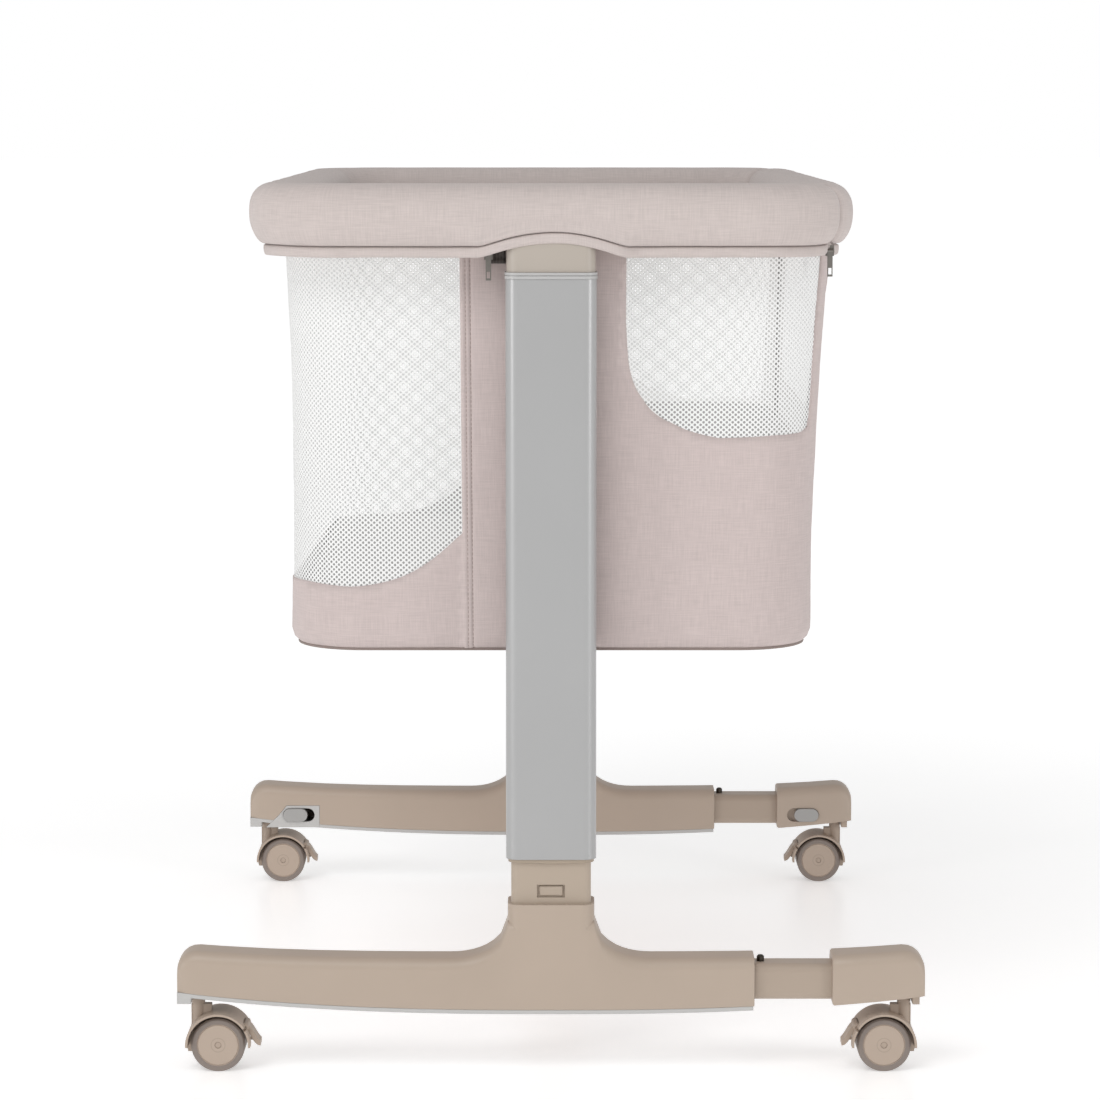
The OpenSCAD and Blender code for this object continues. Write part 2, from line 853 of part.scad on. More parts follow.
module rim_padding() {
    color(LINEN)
        difference() {
            swept_ring(rim_w - rim_t, rim_l - rim_t, rim_corner - rim_t / 2)
                rim_section();
            rim_path(0.2);
            rail_region(zip_gap);
            for (e = [0, 1])
                at_end(e) {
                    side_slab(-sleeve_d, sleeve_d)
                        arch_outline(0.4);
                    bracket_block(1);
                }
        }
}

module drop_rail_padding() {
    color(LINEN)
        difference() {
            intersection() {
                swept_ring(rim_w - rim_t, rim_l - rim_t, rim_corner - rim_t / 2)
                    rim_section();
                rail_region(0);
            }
            rim_path(0.2);
        }
}

module rim_frame() {
    color(STEEL)
        difference() {
            rim_path(0);
            rim_path(-rim_tube_wall);
            rail_region(zip_gap);
        }
}

module drop_rail() {
    color(STEEL)
        difference() {
            intersection() {
                rim_path(0);
                rail_region(0);
            }
            rim_path(-rim_tube_wall);
        }
}

module bracket_block(grow) {
    half = rim_tube_r + bracket_t + grow;
    block(
        [-bracket_w / 2 - grow, rim_line - half, rim_low],
        [bracket_w / 2 + grow, rim_line + half, rim_mid_z + half]
    );
}

// Saddle clamps that hold the rim tube on the post caps
module rim_brackets() {
    color(STEEL)
        for (e = [0, 1])
            at_end(e)
                difference() {
                    bracket_block(0);
                    side_slab(-sleeve_d, sleeve_d)
                        arch_outline(0);
                    translate([0, rim_line, rim_mid_z])
                        rotate([0, 90, 0])
                            cylinder(r = rim_tube_r + seat_gap, h = 2 * bracket_w, center = true);
                }
}

// ---- basket ------------------------------------------------------------------------------

// Closed tub, shrunk by t, with its floor raised by the same t and its top raised by rise
module tub(t, rise = 0) {
    low_w = basket_w - 2 * basket_taper;
    r = basket_corner;
    hull() {
        translate([0, 0, basket_low + t])
            linear_extrude(height = tiny)
                rounded_rect(
                    low_w - 2 * t - 2 * basket_round, basket_l - 2 * t - 2 * basket_round,
                    r - t - basket_round
                );
        translate([0, 0, basket_low + t + basket_round * 0.3])
            linear_extrude(height = tiny)
                rounded_rect(
                    low_w - 2 * t - basket_round * 0.6, basket_l - 2 * t - basket_round * 0.6,
                    r - t - basket_round * 0.3
                );
        translate([0, 0, basket_low + t + basket_round])
            linear_extrude(height = tiny)
                rounded_rect(low_w - 2 * t, basket_l - 2 * t, r - t);
        translate([0, 0, basket_top - tiny + rise])
            linear_extrude(height = tiny)
                rounded_rect(basket_w - 2 * t, basket_l - 2 * t, r - t);
    }
}

// Turns a drawing in Y and Z into a solid from x0 outwards
module side_block(x0) {
    translate([x0, 0, 0])
        rotate([90, 0, 90])
            linear_extrude(height = far_away)
                children();
}

// Region of the drop panel, between its leaning zips, opened by g
module panel_region(g) {
    high = panel_cut + g;
    low = panel_cut - zip_lean + g;
    side_block(basket_w / 2 - basket_corner)
        polygon([
            [-low, fold_z - g], [low, fold_z - g], [high, rim_low], [high, far_away],
            [-high, far_away], [-high, rim_low]
        ]);
}

// Large end window, in X and Z: its lower edge swings up towards the post
module large_window(drop) {
    n = 8;
    edge = basket_w / 2 + 5;
    run = edge - window_left - window_flat;
    low = mesh_low - drop;
    polygon(concat(
        [[-window_left, rim_low + 5], [-edge, rim_low + 5], [-edge, low]],
        [for (i = [0:n]) [-window_left - run * (1 - i / n), low + window_rise * pow(i / n, 2)]]
    ));
}

// Small end window beside the drop side
module small_window(drop) {
    n = 8;
    edge = basket_w / 2;
    low = window_low - drop;
    polygon(concat(
        [[edge, low], [edge, rim_low + 5], [window_right, rim_low + 5]],
        [for (i = [0:n]) [
            window_right + window_curve * (1 - cos(90 * i / n)),
            low + window_curve * (1 - sin(90 * i / n))
        ]]
    ));
}

module window_cuts() {
    for (e = [0, 1])
        mirror([0, e, 0])
            side_slab(-basket_l, -basket_l / 2 + basket_corner) {
                large_window(e * far_window_drop);
                small_window(e * far_window_drop);
            }
    side = basket_l / 2 - side_window_in;
    mirror([1, 0, 0])
        side_block(basket_w / 2 - basket_corner + window_step)
            polygon([
                [-side, mesh_low], [side, mesh_low - far_window_drop], [side, rim_low + 5],
                [-side, rim_low + 5]
            ]);
}

module tub_wall() {
    difference() {
        tub(0);
        tub(cover_t, 1);
    }
}

module basket_cover() {
    color(LINEN)
        difference() {
            tub_wall();
            window_cuts();
            panel_region(zip_gap);
        }
}

module mesh_windows() {
    color(WHITE)
        intersection() {
            difference() {
                tub((cover_t - mesh_t) / 2);
                tub((cover_t + mesh_t) / 2, 1);
                panel_region(zip_gap);
            }
            window_cuts();
        }
}

module drop_window() {
    top = rim_low - panel_hem;
    low = fold_z + panel_border;
    lean = zip_lean / (rim_low - fold_z);
    high_y = panel_cut - panel_border * 1.4 - lean * (rim_low - top);
    low_y = panel_cut - panel_border * 1.4 - lean * (rim_low - low);
    side_block(0)
        polygon([[-low_y, low], [low_y, low], [high_y, top], [-high_y, top]]);
}

module drop_panel() {
    color(LINEN)
        difference() {
            intersection() {
                tub_wall();
                panel_region(0);
            }
            drop_window();
        }
}

module drop_mesh() {
    color(WHITE)
        intersection() {
            difference() {
                tub((cover_t - mesh_t) / 2);
                tub((cover_t + mesh_t) / 2, 1);
            }
            panel_region(0);
            drop_window();
        }
}

module lower_frame() {
    inset = cover_t + low_tube_r + 13;
    w = basket_w - 2 * basket_taper - 2 * inset;
    l = basket_l - 2 * inset;
    color(STEEL)
        difference() {
            swept_ring(w, l, basket_corner - inset)
                translate([0, basket_low + cover_t + low_tube_r])
                    circle(r = low_tube_r);
            swept_ring(w, l, basket_corner - inset)
                translate([0, basket_low + cover_t + low_tube_r])
                    circle(r = low_tube_r - 1.2);
        }
}

module flat_pad(z0, z1, inset) {
    w = basket_w - 2 * basket_taper - 2 * cover_t - 2 * inset;
    l = basket_l - 2 * cover_t - 2 * inset;
    post(w, l, basket_corner - cover_t - inset, z0, z1);
}

module base_board() {
    color("#c8b79c")
        flat_pad(board_low, mattress_low, 3);
}

module mattress() {
    color("#f0efec")
        flat_pad(mattress_low, mattress_low + mattress_t, 1.5);
}

// ---- zips --------------------------------------------------------------------------------

zip_slider_w = 8;
zip_slider_h = 10;
zip_slider_t = 2.2;
pull_barrel = 0.8;    // wall of the pull's eye round the slider's bridge
pull_w = 5;
pull_l = 24;
pull_t = 1.2;
pull_pin_r = 1;
bridge_y = zip_slider_t + pull_pin_r + pull_barrel + clear;
band_zip_x = -sleeve_w / 2 - 16;
corner_zip_x = rim_w / 2 - 24;
corner_zip_y = -panel_cut - 26;

module at_band_zip() {
    translate([band_zip_x, -basket_l / 2 - zip_slider_t, rim_low - 8])
        children();
}

module at_corner_zip() {
    translate([corner_zip_x, corner_zip_y, rim_low - zip_slider_h / 2])
        children();
}

// Slider body with a bridge that the pull hangs from
module zip_slider() {
    ear = 1.2;
    translate([-zip_slider_w / 2, -zip_slider_t, -zip_slider_h / 2])
        cube([zip_slider_w, 2 * zip_slider_t, zip_slider_h]);
    for (x = [-1, 1])
        translate([x * (zip_slider_w - ear) / 2, -bridge_y / 2, 0])
            cube([ear, bridge_y + 2 * pull_pin_r, 3 * pull_pin_r], center = true);
    translate([-zip_slider_w / 2, -bridge_y, 0])
        rotate([0, 90, 0])
            cylinder(r = pull_pin_r, h = zip_slider_w);
}

// Pull tab, hung from the bridge
module zip_pull() {
    translate([0, -bridge_y, 0])
        difference() {
            union() {
                rotate([0, 90, 0])
                    translate([0, 0, -pull_w / 2])
                        cylinder(r = pull_pin_r + pull_barrel, h = pull_w);
                translate([-pull_w / 2, -pull_t, -pull_l])
                    cube([pull_w, pull_t, pull_l]);
            }
            rotate([0, 90, 0])
                cylinder(r = pull_pin_r + pin_gap, h = 4 * pull_w, center = true);
            translate([0, 0, -pull_l + 5])
                cube([pull_w - 2, 4 * pull_t, 6], center = true);
        }
}

module zip_sliders() {
    color(STEEL) {
        at_band_zip()
            zip_slider();
        at_corner_zip()
            zip_slider();
    }
}

module band_zip_pull() {
    color(STEEL)
        at_band_zip()
            zip_pull();
}

module corner_zip_pull() {
    color("#5b4f4a")
        at_corner_zip()
            zip_pull();
}

// ---- the nodes ---------------------------------------------------------------------------

for (e = [0, 1]) {
    at_end(e) foot_shell();
    at_end(e) foot_strip();
    at_end(e) foot_core();
    at_end(e) column();
    at_end(e) extension_tube();
    at_end(e) extension_end();
    at_end(e) snap_button();
    at_end(e) slider_knob();
    at_end(e) mirror([1, 0, 0]) slider_knob();
    at_end(e) sleeve();
    at_end(e) sleeve_trim();
    at_end(e) post_cap();
    at_end(e) sleeve_guide();
    at_end(e) height_catch();
}

for (e = [0, 1])
    for (s = [0, 1]) {
        castor = str(END_NAMES[e], "_", SIDE_NAMES[s], "_castor_");
        at_castor(e, s) castor_hood();
        at_castor(e, s) castor_pins();
        at_castor(e, s) castor_wheels();
        at_castor(e, s) castor_brake();
    }

basket_cover();
mesh_windows();
drop_panel();
drop_mesh();
rim_frame();
rim_padding();
drop_rail();
drop_rail_padding();
base_board();
mattress();
lower_frame();
rim_brackets();
zip_sliders();
band_zip_pull();
corner_zip_pull();
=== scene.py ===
import json
import math

import bpy
import numpy as np
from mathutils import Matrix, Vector, geometry, noise

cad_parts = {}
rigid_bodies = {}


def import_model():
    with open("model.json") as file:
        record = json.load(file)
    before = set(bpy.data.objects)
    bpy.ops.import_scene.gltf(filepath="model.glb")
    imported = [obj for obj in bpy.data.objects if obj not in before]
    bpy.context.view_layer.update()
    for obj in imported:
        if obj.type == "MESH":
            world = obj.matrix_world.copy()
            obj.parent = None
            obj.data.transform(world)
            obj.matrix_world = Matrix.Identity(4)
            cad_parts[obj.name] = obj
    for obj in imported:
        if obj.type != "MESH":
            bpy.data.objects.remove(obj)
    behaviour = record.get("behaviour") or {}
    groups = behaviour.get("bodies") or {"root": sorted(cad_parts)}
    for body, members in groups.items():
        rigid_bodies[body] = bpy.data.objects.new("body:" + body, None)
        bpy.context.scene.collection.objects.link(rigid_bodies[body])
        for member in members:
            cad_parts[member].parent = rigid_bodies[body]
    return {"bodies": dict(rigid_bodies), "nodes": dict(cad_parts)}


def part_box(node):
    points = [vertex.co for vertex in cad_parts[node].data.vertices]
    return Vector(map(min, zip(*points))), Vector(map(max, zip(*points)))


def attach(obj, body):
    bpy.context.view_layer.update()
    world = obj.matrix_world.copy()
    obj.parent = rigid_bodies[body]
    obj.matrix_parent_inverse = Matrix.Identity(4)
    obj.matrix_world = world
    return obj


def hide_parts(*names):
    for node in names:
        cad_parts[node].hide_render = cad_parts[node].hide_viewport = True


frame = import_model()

# A bedside crib: a sewn basket with mesh windows hangs in a padded rim between two posts.
# Each post slides in a bowed foot on castors. Lengths are in metres, in the frame's own axes.

known = set(frame["nodes"].values()) | set(frame["bodies"].values())
for obj in [o for o in bpy.data.objects if o not in known]:
    bpy.data.objects.remove(obj)
bpy.context.view_layer.update()


# ---- Feet ---------------------------------------------------------------------------------
# Each foot is a bowed ABS moulding in warm beige with softened edges and a lightly
# spark-eroded skin. A polypropylene strip snaps in underneath and carries a frame
# for the release slider, and a zinc-plated steel guide inside takes the extension tube.


def linear(code):
    """sRGB hex colour to linear RGBA."""
    parts = [int(code[i:i + 2], 16) / 255 for i in (1, 3, 5)]
    return [c / 12.92 if c <= 0.04045 else ((c + 0.055) / 1.055) ** 2.4 for c in parts] + [1.0]


def add(tree, kind, sockets, **settings):
    """Adds a node with its settings; each socket takes a value or a link."""
    node = tree.nodes.new("ShaderNode" + kind)
    for name, value in settings.items():
        setattr(node, name, value)
    for name, value in sockets.items():
        if isinstance(value, bpy.types.NodeSocket):
            tree.links.new(value, node.inputs[name])
        else:
            node.inputs[name].default_value = value
    return node


def start_material(name, **constants):
    """A new material with its shader; constants go on the shader's own sockets."""
    material = bpy.data.materials.new(name)
    material.use_nodes = True
    tree = material.node_tree
    shader = tree.nodes["Principled BSDF"]
    for socket, value in constants.items():
        shader.inputs[socket.replace("_", " ")].default_value = value
    return material, tree, shader


def surface(tree, shader, colour, tone, bump=None, **settings):
    """Ends a material: its colour shaded by a tone, and a bump where it has one."""
    tinted = add(
        tree, "MixRGB", {0: 1.0, 1: linear(colour), 2: tone.outputs[0]}, blend_type="MULTIPLY"
    )
    tree.links.new(tinted.outputs[0], shader.inputs["Base Color"])
    if bump:
        raised = add(tree, "Bump", bump, **settings)
        tree.links.new(raised.outputs[0], shader.inputs["Normal"])


def moulded_plastic(name, colour, grain_mm, roughness, depth_mm=0.05, shade=0.04):
    """Moulded thermoplastic: faint flow shading, an eroded grain and softened edges. The
    real grain is about a tenth of a millimetre; it is drawn coarser, so that it shows."""
    material, tree, shader = start_material(name, Roughness=roughness, IOR=1.5)
    place = add(tree, "TexCoord", {}).outputs["Object"]
    flow = add(tree, "TexNoise", {"Vector": place, "Scale": 14.0, "Detail": 3.0})
    tone = add(
        tree, "MapRange", {"Value": flow.outputs["Fac"], "To Min": 1 - shade, "To Max": 1 + shade}
    )
    edges = add(tree, "Bevel", {"Radius": 0.0009}, samples=4)
    grain = add(tree, "TexNoise", {"Vector": place, "Scale": 1000 / grain_mm, "Detail": 2.0})
    surface(tree, shader, colour, tone, {
        "Strength": 0.25, "Distance": depth_mm / 1000, "Height": grain.outputs["Fac"],
        "Normal": edges.outputs[0],
    })
    return material


def finish_nodes(material, *names):
    """Gives carried-over nodes their material, smooth faces and crisp edges."""
    for name in names:
        node = frame["nodes"][name]
        mesh = node.data
        for attribute in ("custom_normal", "sharp_edge", "sharp_face"):
            if attribute in mesh.attributes:
                mesh.attributes.remove(mesh.attributes[attribute])
        mesh.polygons.foreach_set("use_smooth", [True] * len(mesh.polygons))
        weld = node.modifiers.new("weld", "WELD")
        weld.merge_threshold = 0.00002
        edges = node.modifiers.new("edges", "EDGE_SPLIT")
        edges.split_angle = math.radians(32)
        edges.use_edge_sharp = False
        for slot in node.material_slots:
            slot.material = material


ENDS = ("near", "far")

# Spark-eroded ABS scatters light softly, so the foot shows a broad satin sheen and no glare.
foot_abs = moulded_plastic("foot_abs_satin", "#b3a394", grain_mm=0.9, roughness=0.42)
# Polypropylene is a little waxier and paler than the foot.
strip_pp = moulded_plastic("strip_polypropylene", "#bdbcba", grain_mm=1.1, roughness=0.5)
for end in ENDS:
    finish_nodes(foot_abs, end + "_foot_shell")
    finish_nodes(strip_pp, end + "_foot_strip")


def plated_steel(name, colour, roughness):
    """Zinc-plated sheet or tube: dull metal with faint crystal patches and drawing lines."""
    material, tree, shader = start_material(name, Metallic=1.0, Roughness=roughness)
    place = add(tree, "TexCoord", {}).outputs["Object"]
    spangle = add(tree, "TexVoronoi", {"Vector": place, "Scale": 220.0})
    tone = add(
        tree, "MapRange", {"Value": spangle.outputs["Distance"], "To Min": 0.92, "To Max": 1.05}
    )
    lines = add(tree, "TexNoise", {"Vector": place, "Scale": 900.0, "Detail": 3.0})
    surface(tree, shader, colour, tone, {
        "Strength": 0.2, "Distance": 0.00004, "Height": lines.outputs["Fac"],
    })
    return material


# Zinc plate gives the hidden tubes a cool dull shine with small spangles.
zinc_steel = plated_steel("zinc_plated_steel", "#9a9b9c", roughness=0.38)
for end in ENDS:
    finish_nodes(zinc_steel, end + "_foot_core")


# ---- Extensions ---------------------------------------------------------------------------
# A rounded steel tube in beige powder coat slides out of each foot's right end. A moulded
# end piece carries its castor. A dark sprung button on the tube stops it at the mouth.


def powder_coat(name, colour, roughness, **constants):
    """Baked powder coat: satin with a shallow orange-peel ripple about 1.5 mm across."""
    material, tree, shader = start_material(name, Roughness=roughness, IOR=1.5, **constants)
    place = add(tree, "TexCoord", {}).outputs["Object"]
    drift = add(tree, "TexNoise", {"Vector": place, "Scale": 9.0, "Detail": 2.0})
    tone = add(
        tree, "MapRange", {"Value": drift.outputs["Fac"], "To Min": 0.97, "To Max": 1.03}
    )
    edges = add(tree, "Bevel", {"Radius": 0.0006}, samples=4)
    peel = add(tree, "TexNoise", {"Vector": place, "Scale": 650.0, "Detail": 1.0})
    surface(tree, shader, colour, tone, {
        "Strength": 0.12, "Distance": 0.00008, "Height": peel.outputs["Fac"],
        "Normal": edges.outputs[0],
    })
    return material


# Beige powder coat on the steel is flatter and a touch darker than the ABS beside it.
tube_coat = powder_coat("tube_powder_coat_beige", "#ad9d8e", roughness=0.4)
# The blued spring-steel button is the darkest small part of the foot.
button_steel = plated_steel("button_blued_steel", "#4b4641", roughness=0.3)
# The sliders are moulded in neutral grey ABS with a smooth polished face.
slider_abs = moulded_plastic("slider_abs_grey", "#a3a2a0", grain_mm=0.8, roughness=0.36)
for end in ENDS:
    finish_nodes(tube_coat, end + "_extension_tube")
    finish_nodes(foot_abs, end + "_extension_end")
    finish_nodes(button_steel, end + "_snap_button")
    finish_nodes(slider_abs, end + "_fixed_slider", end + "_moving_slider")


# ---- Castors ------------------------------------------------------------------------------
# Twin-wheel castors with a nylon hood over the wheels. Each wheel is a nylon hub disc with a
# soft taupe tread moulded round it, and a nylon lever at the outer side presses on the tread.

# Nylon takes a slightly rougher skin than the ABS and the same beige pigment.
castor_nylon = moulded_plastic("castor_nylon_beige", "#b1a091", grain_mm=1.0, roughness=0.46)


def wheel_material(name, hub, tread, wheel_d, hub_d):
    """Two-shot wheel: a beige disc with painted shade in a turned ring, and a darker rubbery
    tread.
    """
    material, tree, shader = start_material(name, Roughness=0.5, IOR=1.5)
    place = add(tree, "TexCoord", {}).outputs["Generated"]
    centred = add(tree, "VectorMath", {0: place, 1: (0.5, 0.5, 0.5)}, operation="SUBTRACT")
    flat = add(
        tree, "VectorMath", {0: centred.outputs[0], 1: (1.0, 0.0, 1.0)}, operation="MULTIPLY"
    )
    reach = add(tree, "VectorMath", {0: flat.outputs[0]}, operation="LENGTH").outputs["Value"]
    is_tread = add(
        tree, "MapRange",
        {"Value": reach, "From Min": hub_d / wheel_d / 2 - 0.004,
         "From Max": hub_d / wheel_d / 2 + 0.004},
    ).outputs[0]
    ring = add(
        tree, "Math", {0: add(tree, "Math", {0: reach, 1: 0.13}, operation="SUBTRACT").outputs[0]},
        operation="ABSOLUTE",
    )
    # Painted shade: the turned groove darkens the hub's colour to 0.8 in its dip, and also sets
    # the bump.
    groove = add(
        tree, "MapRange",
        {"Value": ring.outputs[0], "From Min": 0.0, "From Max": 0.012, "To Min": 0.8,
         "To Max": 1.0},
    )
    disc = add(
        tree, "MixRGB", {0: 1.0, 1: linear(hub), 2: groove.outputs[0]}, blend_type="MULTIPLY"
    )
    coloured = add(tree, "MixRGB", {0: is_tread, 1: disc.outputs[0], 2: linear(tread)})
    tree.links.new(coloured.outputs[0], shader.inputs["Base Color"])
    grain = add(
        tree, "TexNoise",
        {"Vector": add(tree, "TexCoord", {}).outputs["Object"], "Scale": 900.0, "Detail": 2.0},
    )
    step = add(
        tree, "Math", {0: groove.outputs[0], 1: grain.outputs["Fac"]}, operation="ADD"
    )
    bump = add(
        tree, "Bump", {"Strength": 0.3, "Distance": 0.0001, "Height": step.outputs[0],
                       "Normal": add(tree, "Bevel", {"Radius": 0.0008}, samples=4).outputs[0]}
    )
    tree.links.new(bump.outputs[0], shader.inputs["Normal"])
    return material


# The tread is matt taupe rubber, and the hub keeps the castor's own beige.
castor_wheel = wheel_material(
    "castor_wheel_nylon_and_rubber", "#b4a394", "#857a73", wheel_d=50.4, hub_d=39.5
)
for end in ENDS:
    for side in ("left", "right"):
        castor = end + "_" + side + "_castor_"
        finish_nodes(castor_nylon, castor + "hood", castor + "brake", castor + "pins")
        finish_nodes(castor_wheel, castor + "wheels")


# ---- Posts --------------------------------------------------------------------------------
# A beige steel column stands in each foot. The crib's silver grey sleeve slides over it in a
# moulded guide, with a sprung catch behind. A grooved band and a beige cap close the top.

# Silver grey powder coat carries fine flake, so its rounded corners catch a soft bright line.
sleeve_coat = powder_coat("sleeve_powder_coat_silver", "#aaaaaa", roughness=0.33, Metallic=0.25)
# The column's coat is the same beige as the extension tube, seen further in shade.
column_coat = powder_coat("column_powder_coat_beige", "#b1a292", roughness=0.4)
# The grooved band is smooth grey ABS, paler than the sleeve below it.
band_abs = moulded_plastic("band_abs_grey", "#b4b3b2", grain_mm=0.8, roughness=0.34)
# The cap is greyish beige ABS under the rim's arch.
cap_abs = moulded_plastic("cap_abs_greige", "#aea59b", grain_mm=0.9, roughness=0.4)
# The guide and catch are acetal, smooth and slightly waxy so that they slide.
guide_acetal = moulded_plastic("guide_acetal_beige", "#a79887", grain_mm=1.2, roughness=0.38)
for end in ENDS:
    finish_nodes(column_coat, end + "_column")
    finish_nodes(sleeve_coat, end + "_sleeve")
    finish_nodes(band_abs, end + "_sleeve_trim")
    finish_nodes(cap_abs, end + "_post_cap")
    finish_nodes(guide_acetal, end + "_sleeve_guide", end + "_height_catch")


# Behind the column's outer face a moulded strip fills the windows with shallow pads, so that
# the catch can only be worked from the crib's side.
NEAR_FACE, FAR_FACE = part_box("near_column")[0][1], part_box("far_column")[1][1]
COLUMN_WALL = 0.0025
PAD_HALF_W, PAD_HALF_H, PAD_ROUND = 0.0112, 0.0048, 0.0012


def window_strip(name, face, inward, heights, body):
    """The strip behind the column's wall with a rounded pad for each window. inward is 1 or
    -1 along y, and turns the faces with it."""
    points, faces = [], []

    def ring(half_w, z0, z1, y):
        first = len(points)
        r = PAD_ROUND
        for cx, cz, start in (
            (half_w - r, z1 - r, 0), (-half_w + r, z1 - r, 90), (-half_w + r, z0 + r, 180),
            (half_w - r, z0 + r, 270),
        ):
            for k in range(4):
                a = math.radians(start + 30 * k)
                points.append((cx + r * math.cos(a), y, cz + r * math.sin(a)))
        return range(first, first + 16)

    def join(a, b):
        for i in range(16):
            quad = (a[i], a[(i + 1) % 16], b[(i + 1) % 16], b[i])
            faces.append(quad[::inward])

    back = face + inward * (COLUMN_WALL + 0.0015)
    plate = face + inward * (COLUMN_WALL + 0.0002)
    low, high = heights[0] - 0.010, heights[-1] + 0.010
    a, b = ring(0.0148, low, high, back), ring(0.0148, low, high, plate)
    join(b, a)
    faces.append(tuple(b)[::inward])
    faces.append(tuple(a)[::-inward])
    for z in heights:
        rings = [
            ring(PAD_HALF_W, z - PAD_HALF_H, z + PAD_HALF_H, plate),
            ring(PAD_HALF_W - 0.0002, z - PAD_HALF_H + 0.0002, z + PAD_HALF_H - 0.0002,
                 face + inward * 0.0014),
            ring(PAD_HALF_W - 0.0008, z - PAD_HALF_H + 0.0008, z + PAD_HALF_H - 0.0008,
                 face + inward * 0.0010),
        ]
        join(rings[1], rings[0])
        join(rings[2], rings[1])
        faces.append(tuple(rings[2])[::inward])
    mesh = bpy.data.meshes.new(name)
    mesh.from_pydata(points, [], faces)
    mesh.materials.append(column_coat)
    piece = bpy.data.objects.new(name, mesh)
    bpy.context.scene.collection.objects.link(piece)
    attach(piece, body)


FIRST_WINDOW, WINDOW_STEP = 0.172, 0.038  # five windows up the column, one for each setting
WINDOW_HEIGHTS = [FIRST_WINDOW + WINDOW_STEP * k for k in range(5)]
for end, face, inward in (("near", NEAR_FACE, 1), ("far", FAR_FACE, -1)):
    window_strip(end + "_column_window_strip", face, inward, WINDOW_HEIGHTS, end + "_foot")


# ---- Basket frame -------------------------------------------------------------------------
# Inside the fabric: a plated steel rim tube in two lengths, the brackets that hold it on the
# post caps, a lower frame tube and a fibreboard base. Most of it is covered once sewn up.


def fibreboard(name, colour):
    """Plain hardboard: short pressed fibres a few millimetres long in two browns."""
    material, tree, shader = start_material(name, Roughness=0.7, IOR=1.45)
    place = add(tree, "TexCoord", {}).outputs["Object"]
    stretch = add(tree, "Mapping", {"Vector": place, "Scale": (1.0, 3.0, 1.0)})
    fibre = add(
        tree, "TexNoise", {"Vector": stretch.outputs[0], "Scale": 260.0, "Detail": 5.0}
    )
    tone = add(
        tree, "MapRange", {"Value": fibre.outputs["Fac"], "To Min": 0.8, "To Max": 1.12}
    )
    surface(tree, shader, colour, tone, {
        "Strength": 0.4, "Distance": 0.0001, "Height": fibre.outputs["Fac"],
    })
    return material


# Hardboard shows mottled brown fibre and no gloss.
base_fibreboard = fibreboard("base_fibreboard", "#a98f72")
finish_nodes(zinc_steel, "rim_frame", "drop_rail", "rim_brackets", "lower_frame")
finish_nodes(base_fibreboard, "base_board")


# ---- Sewn cover ---------------------------------------------------------------------------
# One belt of heathered linen-look polyester, lined in grey and white, is stretched round the
# frame. It rises to the rim at both posts and at the drop side's corners, and is cut away in
# curves for the mesh. A felled seam runs down it beside each large window.

cover_low, cover_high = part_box("basket_cover")
BASKET_HALF_W = cover_high[0]
BASKET_HALF_L = cover_high[1]
BASKET_R = 0.075
TAPER = 0.009
BOTTOM_R = 0.016
FLOOR_Z = cover_low[2]
TOP_H = cover_high[2] - FLOOR_Z - BOTTOM_R
FOLD_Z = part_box("drop_panel")[0][2]
SIDE = BASKET_HALF_L - BASKET_R
END = BASKET_HALF_W - BASKET_R
ROUND = 2 * (SIDE + END) * 2 + 2 * math.pi * BASKET_R


def around(s, half_w, half_l, radius, inset=0.0):
    """Point and outward direction at length s along a rounded rectangle. s starts in the
    middle of the left side and runs first towards the near end. inset moves inward."""
    side, end, arc = half_l - radius, half_w - radius, radius * math.pi / 2
    runs = (
        (side, False), (arc, True), (2 * end, False), (arc, True), (2 * side, False),
        (arc, True), (2 * end, False), (arc, True), (side, False),
    )
    s = np.mod(np.asarray(s, float), 4 * (side + end + arc))
    x, y, nx, ny = (np.zeros_like(s) for _ in range(4))
    px, py, heading, start = -half_w, 0.0, -math.pi / 2, 0.0
    for length, turns in runs:
        here = (s >= start - 1e-9) & (s <= start + length + 1e-9)
        t = s - start
        if turns:
            cx = px - radius * math.sin(heading)
            cy = py + radius * math.cos(heading)
            angle = heading + t / radius
            tx, ty = cx + radius * np.sin(angle), cy - radius * np.cos(angle)
            heading += math.pi / 2
            px, py = cx + radius * math.sin(heading), cy - radius * math.cos(heading)
        else:
            angle = heading + 0 * t
            tx, ty = px + t * math.cos(heading), py + t * math.sin(heading)
            px, py = px + length * math.cos(heading), py + length * math.sin(heading)
        x[here], y[here] = tx[here], ty[here]
        nx[here], ny[here] = np.sin(angle)[here], -np.cos(angle)[here]
        start += length
    return x - nx * inset, y - ny * inset, nx, ny


def h_at(z):
    """Height up the wall for a height above the floor."""
    return z - FLOOR_Z - BOTTOM_R


def ripple(a, b, seed, size):
    """Smooth unevenness from -1 to 1 over a cloth, from its own coordinates."""
    return np.array([
        noise.noise(Vector((u / size, v / size, seed))) for u, v in zip(a.ravel(), b.ravel())
    ]).reshape(a.shape)


